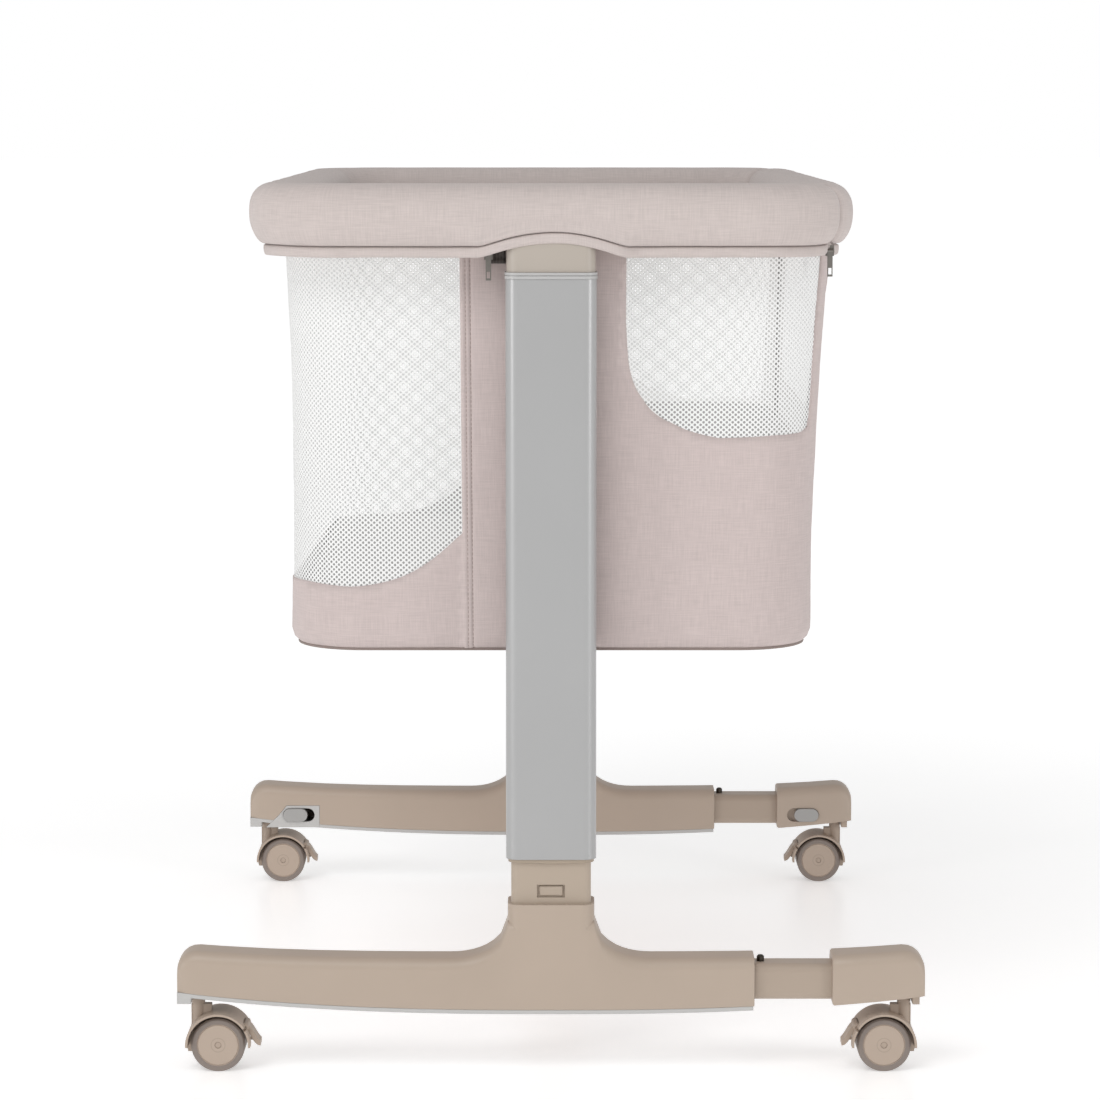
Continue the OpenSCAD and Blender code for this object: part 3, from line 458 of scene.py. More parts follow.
def wall(s, h, out=0.0):
    """Where the cover's cloth comes to lie: s round the basket, h up the wall from the start
    of its bottom curve. The left side is drawn in, and the right side stands out at the top."""
    s, h = np.broadcast_arrays(np.asarray(s, float), np.asarray(h, float))
    bend = np.clip(-h, 0, BOTTOM_R * math.pi / 2) / BOTTOM_R
    under = np.clip(-h - BOTTOM_R * math.pi / 2, 0, None)
    inset = BOTTOM_R * (1 - np.cos(bend)) + under - out * np.cos(bend)
    z = FLOOR_Z + BOTTOM_R * (1 - np.sin(bend)) + np.clip(h, 0, None) - out * np.sin(bend)
    x, y, nx, ny = around(s, BASKET_HALF_W, BASKET_HALF_L, BASKET_R)
    t = np.clip((z - FLOOR_Z) / (cover_high[2] - FLOOR_Z), 0, 1)
    left = -0.0207 * t + 0.0163 * t * t
    right = -0.0111 * t + 0.0181 * t * t
    drawn = np.where(nx < 0, left, right) * nx * nx
    narrow = 1 - TAPER / BASKET_HALF_W * (1 - t)
    return np.stack([
        (x - nx * inset) * narrow + nx * drawn, y - ny * inset + ny * drawn, z
    ], axis=-1)


def dense(path, gap, closed=False):
    """Even points along a path of straight runs."""
    path = np.asarray(path + [path[0]] if closed else path, float)
    out = []
    for a, b in zip(path[:-1], path[1:]):
        n = max(1, int(math.ceil(np.hypot(*(b - a)) / gap)))
        out += [a + (b - a) * i / n for i in range(n)]
    return np.array(out if closed else out + [path[-1]])


def inside(points, loop):
    """Which points lie inside a closed loop."""
    x, y = points[:, 0][:, None], points[:, 1][:, None]
    ax, ay = loop[:, 0][None], loop[:, 1][None]
    bx, by = np.roll(loop[:, 0], -1)[None], np.roll(loop[:, 1], -1)[None]
    crosses = (ay > y) != (by > y)
    at = ax + (y - ay) * (bx - ax) / np.where(by == ay, 1e-12, by - ay)
    return (np.sum(crosses & (x < at), axis=1) % 2) == 1


def reach_to(points, line):
    """Distance from each point to the nearest point of a dense line, and which one that is."""
    best = np.full(len(points), 1e9)
    index = np.zeros(len(points), int)
    batch = 500  # points at a time, to keep the table of distances small
    for i in range(0, len(points), batch):
        part = points[i:i + batch]
        d = np.hypot(part[:, None, 0] - line[None, :, 0], part[:, None, 1] - line[None, :, 1])
        index[i:i + batch] = d.argmin(axis=1)
        best[i:i + batch] = d.min(axis=1)
    return best, index


def cut_cloth(loop, gap, holes=(), lines=()):
    """Cuts a flat piece: closed loop, holes, even points inside, and extra points on the
    lines that are sewn. Returns its points and its triangles."""
    rim = dense(loop, gap, closed=True)
    hole_rims = [dense(h, gap, closed=True) for h in holes]
    edges_all = np.concatenate([rim] + hole_rims)
    low, high = rim.min(axis=0), rim.max(axis=0)
    nx, ny = int((high[0] - low[0]) / gap) + 2, int((high[1] - low[1]) / (gap * 0.87)) + 2
    gx, gy = np.meshgrid(np.arange(nx), np.arange(ny))
    grid = np.stack([low[0] + (gx + 0.5 * (gy % 2)) * gap, low[1] + gy * gap * 0.87], axis=-1)
    grid = grid.reshape(-1, 2)

    def on_cloth(p):
        keep = inside(p, rim)
        for h in hole_rims:
            keep &= ~inside(p, h)
        return keep

    keep = on_cloth(grid) & (reach_to(grid, edges_all)[0] > gap * 0.45)
    extra = []
    for line in lines:
        p = dense(line, gap * 0.6)
        extra.append(p[on_cloth(p) & (reach_to(p, edges_all)[0] > 0.0008)])
    if extra:
        extra = np.concatenate(extra)
        keep &= reach_to(grid, extra)[0] > gap * 0.35
        grid = np.concatenate([grid[keep], extra])
    else:
        grid = grid[keep]
    points, edges = [], []
    for r in [rim] + hole_rims:
        first = len(points)
        points += [Vector(p) for p in r]
        edges += [(first + i, first + (i + 1) % len(r)) for i in range(len(r))]
    points += [Vector(p) for p in grid]
    verts, _, faces, *_ = geometry.delaunay_2d_cdt(points, edges, [], 0, 1e-6)
    verts = np.array([tuple(v) for v in verts])
    faces = np.array([f for f in faces if len(f) == 3])
    faces = faces[on_cloth(verts[faces].mean(axis=1))]
    used, faces = np.unique(faces, return_inverse=True)
    return verts[used], faces.reshape(-1, 3)


def sewn_piece(name, points, faces, uv, materials, body):
    """Makes a mesh piece with its UVs in metres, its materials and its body."""
    mesh = bpy.data.meshes.new(name)
    mesh.from_pydata([tuple(p) for p in points], [], [tuple(f) for f in faces])
    layer = mesh.uv_layers.new(name="cloth")
    index = np.empty(len(mesh.loops), int)
    mesh.loops.foreach_get("vertex_index", index)
    layer.data.foreach_set("uv", np.asarray(uv)[index].ravel())
    mesh.polygons.foreach_set("use_smooth", [True] * len(mesh.polygons))
    for material in materials:
        mesh.materials.append(material)
    mesh.validate()
    piece = bpy.data.objects.new(name, mesh)
    bpy.context.scene.collection.objects.link(piece)
    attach(piece, body)
    return piece


def linen(name, colour, slub):
    """Heathered plain weave: slubby threads both ways, light and dark, with a fine sheen.
    The real thread spacing is 0.5 mm; its bands are drawn 0.7 mm apart, so that they show."""
    material, tree, shader = start_material(
        name, Roughness=0.88, IOR=1.45, Sheen_Weight=0.18, Sheen_Roughness=0.5
    )
    cloth = add(tree, "UVMap", {}, uv_map="cloth").outputs[0]
    threads = []
    for wide, long_ in ((900.0, 45.0), (45.0, 900.0)):
        scaled = add(tree, "Mapping", {"Vector": cloth, "Scale": (wide, long_, 1.0)})
        threads.append(
            add(tree, "TexNoise", {"Vector": scaled.outputs[0], "Scale": 1.0, "Detail": 3.0})
        )
    both = add(
        tree, "Math", {0: threads[0].outputs["Fac"], 1: threads[1].outputs["Fac"]},
        operation="ADD",
    )
    tone = add(
        tree, "MapRange",
        {"Value": both.outputs[0], "From Min": 0.7, "From Max": 1.3, "To Min": 1 - slub,
         "To Max": 1 + slub},
    )
    cloud = add(tree, "TexNoise", {"Vector": cloth, "Scale": 30.0, "Detail": 2.0})
    drift = add(
        tree, "MapRange", {"Value": cloud.outputs["Fac"], "To Min": 0.97, "To Max": 1.03}
    )
    heather = add(
        tree, "Math", {0: tone.outputs[0], 1: drift.outputs[0]}, operation="MULTIPLY"
    )
    waves = []
    for direction in ("X", "Y"):
        waves.append(
            add(
                tree, "TexWave",
                {"Vector": cloth, "Scale": 1000 / 1.1 / 2, "Distortion": 0.6},
                bands_direction=direction,
            )
        )
    weave = add(
        tree, "Math", {0: waves[0].outputs["Fac"], 1: waves[1].outputs["Fac"]},
        operation="MULTIPLY",
    )
    height = add(
        tree, "Math", {0: weave.outputs[0], 1: both.outputs[0]}, operation="ADD"
    )
    surface(tree, shader, colour, heather, {
        "Strength": 0.35, "Distance": 0.00022, "Height": height.outputs[0],
    })
    return material


# Polyester yarns dyed in two tones give a pinkish beige heather, matt with a slight sheen.
cover_linen = linen("cover_linen_polyester", "#c6b8b5", slub=0.085)
# The lining is plain grey polyester up to the fold line and white above it, and smoother
# and more even than the outside.
lining_cloth = linen("lining_polyester_grey", "#a9a8a6", slub=0.02)
lining_tree = lining_cloth.node_tree
lining_height = add(
    lining_tree, "SeparateXYZ",
    {0: add(lining_tree, "UVMap", {}, uv_map="cloth").outputs[0]},
)
fold_h = h_at(FOLD_Z)
above = add(
    lining_tree, "MapRange",
    {"Value": lining_height.outputs[1], "From Min": fold_h - 0.001, "From Max": fold_h + 0.001},
)
lining_shader = lining_tree.nodes["Principled BSDF"]
two_tones = add(
    lining_tree, "MixRGB",
    {0: above.outputs[0], 1: lining_shader.inputs["Base Color"].links[0].from_socket,
     2: linear("#f2f1ef")},
)
lining_tree.links.new(two_tones.outputs[0], lining_shader.inputs["Base Color"])

NEAR_FIRST = BASKET_R * math.pi / 2 + SIDE  # where the near end's straight run starts


def near_s(x):
    """Length round the basket at x on the near end."""
    return NEAR_FIRST + x + END


# Window edges on the near half, in (x, z). The far end's are lower, because the mattress end
# shows there, and the long side's edge runs straight between the two.
PILLAR_LEFT = -0.085
PILLAR_RIGHT = 0.070
NEAR_CURVE = (
    (-0.245, 0.455), (-0.218, 0.4535), (-0.192, 0.4525), (-0.164, 0.456), (-0.137, 0.4645),
    (-0.111, 0.4805), (PILLAR_LEFT, 0.503),
)
FAR_CURVE = (
    (-0.245, 0.433), (-0.218, 0.432), (-0.192, 0.432), (-0.164, 0.436), (-0.137, 0.445),
    (-0.111, 0.463), (PILLAR_LEFT, 0.487),
)
NEAR_SMALL = (
    (PILLAR_RIGHT, 0.700), (0.0729, 0.662), (0.0785, 0.6416), (0.086, 0.629), (0.0944, 0.6183),
    (0.105, 0.6105), (0.1178, 0.6043), (0.128, 0.5997), (0.141, 0.5958), (0.153, 0.5932),
    (0.1645, 0.592),
)
SMALL_DROP = 0.026  # the far small window is this much lower
# The near end's corner, where the small window ends just short of the zip
SMALL_END = near_s(END) + 0.0795
SMALL_END_TOP = near_s(END) + 0.0835
ZIP_TOP = near_s(END) + 0.0925
ZIP_LOW_Y = -0.238
ZIP_LOW = near_s(END) + BASKET_R * math.pi / 2 + SIDE + ZIP_LOW_Y


def between(a, b, c, d, t):
    """Point on the Catmull-Rom curve from b to c, at t from 0 to 1."""
    return 0.5 * (
        2 * b + (c - a) * t + (2 * a - 5 * b + 4 * c - d) * t * t
        + (3 * b - a - 3 * c + d) * t ** 3
    )


def curve_through(points, per=4):
    """An open smooth curve through points."""
    p = np.array([points[0]] + list(points) + [points[-1]], float)
    out = []
    for a, b, c, d in zip(p[:-3], p[1:-2], p[2:-1], p[3:]):
        for t in np.arange(per) / per:
            out.append(tuple(between(a, b, c, d, t)))
    return out + [tuple(p[-1])]


def rounded(points, cut=0.008):
    """Takes the point off the corners of an open path."""
    out = [points[0]]
    for a, b, c in zip(points[:-2], points[1:-1], points[2:]):
        a, b, c = (np.array(p) for p in (a, b, c))
        for t in (0.0, 0.5, 1.0):
            back = b + (a - b) * min(0.45, cut / max(np.hypot(*(a - b)), 1e-9)) * (1 - t)
            ahead = b + (c - b) * min(0.45, cut / max(np.hypot(*(c - b)), 1e-9)) * t
            out.append(tuple((back + ahead) / 2 if t == 0.5 else back + ahead - b))
    return out + [points[-1]]


def large_edge(curve, sign):
    """Lower edge of the large window from the pillar round to the middle of the long side."""
    path = curve_through([(near_s(x), h_at(z)) for x, z in reversed(curve)])
    middle = (NEAR_CURVE[0][1] + FAR_CURVE[0][1]) / 2
    path += [(NEAR_FIRST - 0.09, h_at(curve[0][1])), (0.0, h_at(middle))]
    return [(sign * s, h) for s, h in path]


def small_edge(sign):
    """Edge of a small window, from the rim at the pillar round to the rim at the corner."""
    drop = 0.0 if sign > 0 else SMALL_DROP
    path = [(near_s(PILLAR_RIGHT), TOP_H)]
    corner = h_at(NEAR_SMALL[-1][1] + 0.002 - drop)
    path += curve_through(
        [(near_s(x), h_at(z - drop)) for x, z in NEAR_SMALL] + [(near_s(0.215), corner)]
    )
    path += rounded([(near_s(0.225), corner), (SMALL_END, corner + 0.002),
                     (SMALL_END_TOP, TOP_H)], cut=0.014)
    return [(sign * s, h) for s, h in path]


large_near = [(near_s(PILLAR_LEFT), TOP_H)] + large_edge(NEAR_CURVE, 1)
large_far = [(-near_s(PILLAR_LEFT), TOP_H)] + large_edge(FAR_CURVE, -1)
small_near, small_far = small_edge(1), small_edge(-1)
zip_near = [(ZIP_TOP, TOP_H), (ZIP_LOW, h_at(FOLD_Z))]
HEM_R = -BOTTOM_R * math.pi / 2


def shift(path, by):
    """The same path further round the basket."""
    return [(s + by, h) for s, h in path]


far_large = shift(large_far, ROUND)
far_small = shift(small_far, ROUND)
zip_far = [(ROUND - s, h) for s, h in zip_near]
cover_loop = (
    [(0.0, HEM_R), (ROUND, HEM_R)] + far_large[::-1] + far_small + zip_far + zip_near[::-1]
    + small_near[::-1] + large_near
)


SEAM = 0.0095          # width of the felled seam beside the large window
SEAM_ROWS = (0.0005, 0.0006, 0.0016, 0.0042, 0.0050, 0.0058, 0.0088, 0.0095, 0.0102,
             0.0115)
PILLAR_SEAMS = (near_s(PILLAR_LEFT), ROUND - near_s(PILLAR_LEFT))
sewn_lines = [large_near, far_large, small_near, far_small]


def seam_relief(points, lines):
    """The bound edge of each window, drawn in a little by its stitching."""
    line = np.concatenate([dense(l, 0.001) for l in lines])
    d, _ = reach_to(points, line)
    return 0.0003 * np.exp(-((d - 0.0016) / 0.0012) ** 2)


def pillar_relief(points):
    """The felled seam from top to bottom: a raised fold between two stitched dips."""
    relief = np.zeros(len(points))
    for at, side in zip(PILLAR_SEAMS, (1, -1)):
        d = (points[:, 0] - at) * side
        relief += 0.0007 * np.clip(d / 0.001, 0, 1) * np.clip((SEAM - d) / 0.001, 0, 1)
        relief -= 0.0007 * np.exp(-((d - 0.005) / 0.0006) ** 2)
        relief -= 0.0008 * np.exp(-((d - SEAM) / 0.0008) ** 2)
        relief -= 0.0008 * np.exp(-(d / 0.0008) ** 2)
    return relief


def cloth_relief(points, seed):
    """Soft slackness of stretched cloth: long shallow waves."""
    return 0.0011 * ripple(points[:, 0], points[:, 1] * 0.6, seed, 0.085) + 0.0004 * ripple(
        points[:, 0], points[:, 1], seed + 5, 0.03
    )


seam_rows = [
    [(at + side * r, HEM_R + 0.002), (at + side * r, TOP_H - 0.002)]
    for at, side in zip(PILLAR_SEAMS, (1, -1)) for r in SEAM_ROWS
]
flat_cover, cover_faces = cut_cloth(cover_loop, 0.009, lines=seam_rows)
slack = cloth_relief(flat_cover, 1.0) * np.clip((flat_cover[:, 1] + 0.02) / 0.03, 0, 1)
cover_out = seam_relief(flat_cover, sewn_lines) + pillar_relief(flat_cover) + slack
# The relief fades out where the flat pattern closes, so that its two ends meet.
cover_out *= np.clip(np.minimum(flat_cover[:, 0], ROUND - flat_cover[:, 0]) / 0.05, 0, 1)
basket_cover = sewn_piece(
    "basket_cover_cloth", wall(flat_cover[:, 0], flat_cover[:, 1], cover_out), cover_faces,
    flat_cover, [cover_linen, lining_cloth], "cradle",
)


def thicken(piece, thickness):
    """Gives cloth its thickness, with the lining on its inner face."""
    solid = piece.modifiers.new("cloth", "SOLIDIFY")
    solid.thickness = thickness
    solid.offset = -1
    solid.material_offset = 1 if len(piece.data.materials) > 1 else 0
    solid.use_even_offset = False


thicken(basket_cover, 0.0016)
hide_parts("basket_cover")

# The underside is a second piece of the same cloth, sewn to the belt with a dark piped seam
# and drawn flat under the base board.


def disc_piece(name, rings, z_of, materials, body, steps=240):
    """A rounded flat piece made of rings that shrink to its middle."""
    s = np.arange(steps) / steps * ROUND
    points, uv, faces = [], [], []
    for k in range(rings):
        t = k / rings
        x, y, *_ = around(s, BASKET_HALF_W - TAPER, BASKET_HALF_L, BASKET_R, BOTTOM_R - 0.001)
        shrink_x, shrink_y = 1 - t, 1 - t * (1 - 0.62 * t)
        px, py = x * shrink_x, y * shrink_y
        points.append(np.stack([px, py, z_of(t) + 0 * px], axis=-1))
        uv.append(np.stack([px, py], axis=-1))
        if k:
            a, b = (k - 1) * steps, k * steps
            faces += [
                (a + i, b + i, b + (i + 1) % steps, a + (i + 1) % steps) for i in range(steps)
            ]
    last = (rings - 1) * steps
    faces += [
        (last + i, last + steps - 1 - i, last + steps - 2 - i, last + i + 1)
        for i in range(steps // 2 - 1)
    ]
    return sewn_piece(
        name, np.concatenate(points), faces, np.concatenate(uv), materials, body
    )


def piped_seam(name, s, h, radius, materials, body, sides=8):
    """A cord covered in cloth, all the way round along a line of the cover."""
    line = wall(s, h)
    ahead = np.roll(line, -1, axis=0) - np.roll(line, 1, axis=0)
    ahead /= np.linalg.norm(ahead, axis=1)[:, None] + 1e-12
    across = np.cross(ahead, np.array([0.0, 0.0, 1.0]) + 0 * ahead)
    across /= np.linalg.norm(across, axis=1)[:, None] + 1e-12
    up = np.cross(across, ahead)
    angle = np.arange(sides) / sides * 2 * math.pi
    points = (
        line[:, None] + radius * (np.cos(angle)[None, :, None] * across[:, None]
                                  + np.sin(angle)[None, :, None] * up[:, None])
    )
    n = len(line)
    faces = [
        (i * sides + j, i * sides + (j + 1) % sides, (i + 1) % n * sides + (j + 1) % sides,
         (i + 1) % n * sides + j)
        for i in range(n) for j in range(sides)
    ]
    run = np.concatenate([[0], np.cumsum(np.linalg.norm(np.diff(line, axis=0), axis=1))])
    uv = np.stack([
        np.repeat(run, sides), np.tile(angle * radius, n)
    ], axis=-1)
    return sewn_piece(name, points.reshape(-1, 3), faces, uv, materials, body)


underside = disc_piece(
    "basket_underside_cloth", 20,
    lambda t: FLOOR_Z + 0.0002 + 0.0012 * np.sin(np.clip(t * 3, 0, 1) * math.pi / 2),
    [cover_linen], "cradle",
)
thicken(underside, 0.0012)

# The piping is a darker tone of the cover's yarn, so the basket ends in a thin dark line.
piping_linen = linen("piping_linen_dark", "#8d7f79", slub=0.05)
PIPING_STEPS, PIPING_H, PIPING_R = 420, -0.017, 0.0017
piped_seam(
    "basket_bottom_piping", np.arange(PIPING_STEPS) / PIPING_STEPS * ROUND,
    np.full(PIPING_STEPS, PIPING_H), PIPING_R, [piping_linen], "cradle",
)


# ---- Stitching ----------------------------------------------------------------------------
# Lockstitch in polyester thread: 3 mm stitches with a 1 mm gap, lying in the dips that they
# pull, in two rows down the felled seam beside each large window.


def stitches(name, paths, place, material, body, pitch=0.0042, length=0.0031):
    """Short rounded stitches along flat paths, set on the cloth."""
    points, faces, uv = [], [], []
    for path in paths:
        gaps = np.hypot(*np.diff(path, axis=0).T)
        run = np.concatenate([[0], np.cumsum(np.minimum(gaps, 1))])
        starts = np.arange(0, run[-1] - length, pitch)
        for offset in starts:
            here = [
                np.array([np.interp(offset + length * t, run, path[:, k]) for k in (0, 1)])
                for t in (0.0, 0.2, 0.5, 0.8, 1.0)
            ]
            if np.hypot(*(here[-1] - here[0])) > length * 1.3:
                continue
            flat = np.array(here)
            along = flat[-1] - flat[0]
            side = np.array([-along[1], along[0]]) / (np.hypot(*along) + 1e-12)
            first = len(points)
            for p, r in zip(flat, (0.1, 0.8, 1.0, 0.8, 0.1)):
                for a, b in ((-1, 0.1), (-0.5, 0.8), (0.5, 0.8), (1, 0.1)):
                    q = p + side * a * 0.00036 * r
                    points.append((q[0], q[1], 0.00045 * b * r))
                    uv.append((offset, q[1]))
            for ring in range(4):
                for k in range(3):
                    a = first + ring * 4 + k
                    faces.append((a, a + 1, a + 5, a + 4))
    flat = np.array(points)
    return sewn_piece(name, place(flat), faces, np.array(uv), [material], body)


def thread(name, colour):
    """Spun polyester thread: a soft sheen, and twisted lines of painted shade half a millimetre
    apart.
    """
    material, tree, shader = start_material(name, Roughness=0.6, IOR=1.45, Sheen_Weight=0.2)
    cloth = add(tree, "UVMap", {}, uv_map="cloth").outputs[0]
    twist = add(
        tree, "TexWave", {"Vector": cloth, "Scale": 900.0, "Distortion": 1.0},
        bands_direction="DIAGONAL",
    )
    # Painted shade: the twist's grooves darken the colour to 0.88; they have no bump.
    tone = add(
        tree, "MapRange", {"Value": twist.outputs["Fac"], "To Min": 0.88, "To Max": 1.0}
    )
    surface(tree, shader, colour, tone)
    return material


# The thread is a shade darker than the cloth, so a seam reads as a fine broken line.
seam_thread = thread("seam_thread_polyester", "#a8958f")


def on_cover(flat):
    """Where a stitch comes to lie on the cover, with its own height as a third column."""
    relief = pillar_relief(flat[:, :2]) + cloth_relief(flat[:, :2], 1.0)
    return wall(flat[:, 0], flat[:, 1], relief + flat[:, 2] + 0.0002)


stitch_paths = [
    dense([(at + side * r, HEM_R * 0.7), (at + side * r, TOP_H)], 0.004)
    for at, side in zip(PILLAR_SEAMS, (1, -1)) for r in (0.005, SEAM)
]
stitches(
    "cover_topstitching", stitch_paths, on_cover, seam_thread, "cradle"
)


# ---- Mesh windows -------------------------------------------------------------------------
# White warp-knit polyester mesh, one length round the left side and both ends, and a small
# piece in each end beside the drop side. It is drawn tight between the rim and the cover.


def knit_mesh(name, colour):
    """Open warp knit: staggered round holes 5.5 mm apart across and 2.35 mm apart down.
    Fine filaments cross the holes, so that they still veil a fifth of what is behind. A
    little emission stands for the light that thin yarn lets through."""
    material, tree, shader = start_material(
        name, Roughness=0.75, IOR=1.45, Emission_Color=(1.0, 1.0, 1.0, 1.0),
        Emission_Strength=0.14,
    )
    cloth = add(tree, "UVMap", {}, uv_map="cloth").outputs[0]
    pitch, row, hole = 0.0055, 0.00235, 0.00118
    nearest = None
    for shift_u, shift_v in ((0.0, 0.0), (pitch / 2, row)):
        moved = add(
            tree, "VectorMath", {0: cloth, 1: (shift_u, shift_v, 0.0)}, operation="ADD"
        )
        cell = add(
            tree, "VectorMath",
            {0: moved.outputs[0], 1: (pitch, 2 * row, 1.0)}, operation="MODULO",
        )
        wrapped = add(
            tree, "VectorMath",
            {0: add(
                tree, "VectorMath", {0: cell.outputs[0], 1: (pitch, 2 * row, 1.0)},
                operation="ADD").outputs[0], 1: (pitch, 2 * row, 1.0)},
            operation="MODULO",
        )
        centred = add(
            tree, "VectorMath", {0: wrapped.outputs[0], 1: (pitch / 2, row, 0.0)},
            operation="SUBTRACT",
        )
        reach = add(tree, "VectorMath", {0: centred.outputs[0]}, operation="LENGTH")
        value = reach.outputs["Value"]
        nearest = value if nearest is None else add(
            tree, "Math", {0: nearest, 1: value}, operation="MINIMUM"
        ).outputs[0]
    solid = add(
        tree, "MapRange",
        {"Value": nearest, "From Min": hole - 0.00012, "From Max": hole + 0.00012},
    )
    rounded_yarn = add(
        tree, "MapRange", {"Value": nearest, "From Min": hole, "From Max": 0.0021}
    )
    fuzz = add(tree, "TexNoise", {"Vector": cloth, "Scale": 2200.0, "Detail": 2.0})
    tone = add(tree, "MapRange", {"Value": fuzz.outputs["Fac"], "To Min": 0.94, "To Max": 1.02})
    surface(tree, shader, colour, tone, {
        "Strength": 0.2, "Distance": 0.0002, "Height": rounded_yarn.outputs[0],
    })
    veil = add(
        tree, "MapRange", {"Value": solid.outputs[0], "To Min": 0.2, "To Max": 1.0}
    )
    tree.links.new(veil.outputs[0], shader.inputs["Alpha"])
    return material


# Bright white yarn with clear round holes: it veils the inside without hiding it.
window_mesh = knit_mesh("window_knit_mesh", "#dcdcdb")


def window_piece(name, loop):
    """A window's mesh, 1 mm inside the cover's outer face."""
    flat, faces = cut_cloth(loop, 0.011)
    relief = -0.0010 + cloth_relief(flat, 3.0)
    piece = sewn_piece(
        name, wall(flat[:, 0], flat[:, 1], relief), faces, flat, [window_mesh], "cradle"
    )
    return piece


def sideways(line):
    """Unit directions square to a flat line, one for each of its points."""
    step = np.gradient(line, axis=0)
    step /= np.hypot(step[:, 0], step[:, 1])[:, None] + 1e-12
    return np.stack([-step[:, 1], step[:, 0]], axis=-1)


def offset_line(path, distance, gap):
    """A path moved sideways in its own plane, as even points."""
    line = dense(path, gap)
    moved = line + sideways(line) * distance
    near = reach_to(moved, dense(path, 0.001))[0] > abs(distance) * 0.96
    return moved[near]


def grown(path, by):
    """A window's edge moved sideways, so that the mesh's edge lies under the cover."""
    return [tuple(p) for p in offset_line(path, by, 0.012)]


HEM_UNDER = 0.006
large_loop = grown(large_far, -HEM_UNDER) + grown(large_near, HEM_UNDER)[::-1]
long_mesh = window_piece("mesh_long_side", large_loop)
window_piece("mesh_near_corner", grown(small_near, -HEM_UNDER))
window_piece("mesh_far_corner", grown(small_far, HEM_UNDER))
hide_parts("mesh_windows")


# ---- Drop side ----------------------------------------------------------------------------
# The right side's own panel: the same lined cloth with a mesh window, held to the corners by
# two leaning zips. Unzipped, it folds outward about the line where it joins the belt.

panel_loop = [zip_near[1], zip_near[0], zip_far[0], zip_far[1]]
BORDER = 0.060
window_high = h_at(cover_high[2] - 0.020)
window_low = h_at(FOLD_Z + 0.042)
lean = (ZIP_LOW - ZIP_TOP) / (TOP_H - h_at(FOLD_Z))


def zip_s(h):
    """Length round the basket of the near zip at height h."""
    return ZIP_LOW - (h - h_at(FOLD_Z)) * lean


drop_window = [
    (zip_s(window_low) + BORDER, window_low), (zip_s(window_high) + BORDER, window_high),
    (ROUND - zip_s(window_high) - BORDER, window_high),
    (ROUND - zip_s(window_low) - BORDER, window_low),
]
drop_window = rounded([drop_window[-1]] + drop_window + drop_window[:1], cut=0.03)[1:-1]
panel_flat, panel_faces = cut_cloth(panel_loop, 0.009, holes=[drop_window])
panel_out = seam_relief(panel_flat, [drop_window + drop_window[:1]]) + 0.0006 + cloth_relief(
    panel_flat, 8.0
)
drop_cloth = sewn_piece(
    "drop_side_cloth", wall(panel_flat[:, 0], panel_flat[:, 1], panel_out), panel_faces,
    panel_flat, [cover_linen, lining_cloth], "drop_side",
)
thicken(drop_cloth, 0.0016)
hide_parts("drop_panel")
centre = np.array(drop_window).mean(axis=0)
mesh_loop = [tuple(centre + (np.array(p) - centre) * (1.02, 1.06)) for p in drop_window]
mesh_flat, mesh_faces = cut_cloth(mesh_loop, 0.011)
mesh_out = -0.0008 + cloth_relief(mesh_flat, 8.0)
drop_mesh = sewn_piece(
    "drop_side_mesh", wall(mesh_flat[:, 0], mesh_flat[:, 1], mesh_out), mesh_faces, mesh_flat,
    [window_mesh], "drop_side",
)
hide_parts("drop_mesh")


# ---- Zips ---------------------------------------------------------------------------------
# Nylon coil zips on woven tape, leaning up each side of the drop side. The sliders and their
# pull tabs are cast zinc. One more slider hangs under the rim beside the near post.


def zip_tape_material(name, colour):
    """Woven tape with a coil: ribs 1.4 mm apart, painted highlight on crests and shade between
    them.
    """
    material, tree, shader = start_material(name, Roughness=0.6, IOR=1.5)
    cloth = add(tree, "UVMap", {}, uv_map="cloth").outputs[0]
    coil = add(
        tree, "TexWave", {"Vector": cloth, "Scale": 1000 / 2.2 / 2, "Distortion": 0.2},
        bands_direction="X",
    )
    # Painted highlight and painted shade: the colour follows the ribs' height, 0.55 in the gaps
    # and 1.3 on the crests.
    tone = add(
        tree, "MapRange", {"Value": coil.outputs["Fac"], "To Min": 0.55, "To Max": 1.3}
    )
    surface(tree, shader, colour, tone, {
        "Strength": 0.8, "Distance": 0.0006, "Height": coil.outputs["Fac"],
    })
    return material


# The coil is taupe nylon: from a step away it reads as a dark dotted line, with painted shade in
# its gaps.
zip_coil = zip_tape_material("zip_coil_nylon", "#5f5955")
# Cast zinc pulls have a dull grey polish.
zip_zinc = plated_steel("zip_cast_zinc", "#84807b", roughness=0.34)
finish_nodes(zip_zinc, "zip_sliders", "band_zip_pull", "corner_zip_pull")


def tape(name, path, width, out, material):
    """A narrow tape along a flat path of the cover, with a low round coil down its middle."""
    line = dense(path, 0.006)
    side = sideways(line)
    run = np.concatenate([[0], np.cumsum(np.hypot(*np.diff(line, axis=0).T))])
    across = (-0.5, -0.3, -0.2, -0.1, 0.0, 0.1, 0.2, 0.3, 0.5)
    lift = (0.0, 0.0, 0.0006, 0.0011, 0.0013, 0.0011, 0.0006, 0.0, 0.0)
    flat = np.stack([line + side * a * width for a in across], axis=1)
    points = np.stack([
        wall(flat[:, k, 0], flat[:, k, 1], out - lift[k]) for k in range(len(across))
    ], axis=1)
    n, m = flat.shape[:2]
    uv = np.stack([
        np.repeat(run, m), np.tile(np.array(across) * width, n)
    ], axis=-1)
    faces = [
        (i * m + j, i * m + j + 1, (i + 1) * m + j + 1, (i + 1) * m + j)
        for i in range(n - 1) for j in range(m - 1)
    ]
    piece = sewn_piece(name, points.reshape(-1, 3), faces, uv, [material], "cradle")
    solid = piece.modifiers.new("tape", "SOLIDIFY")
    solid.thickness = 0.0005


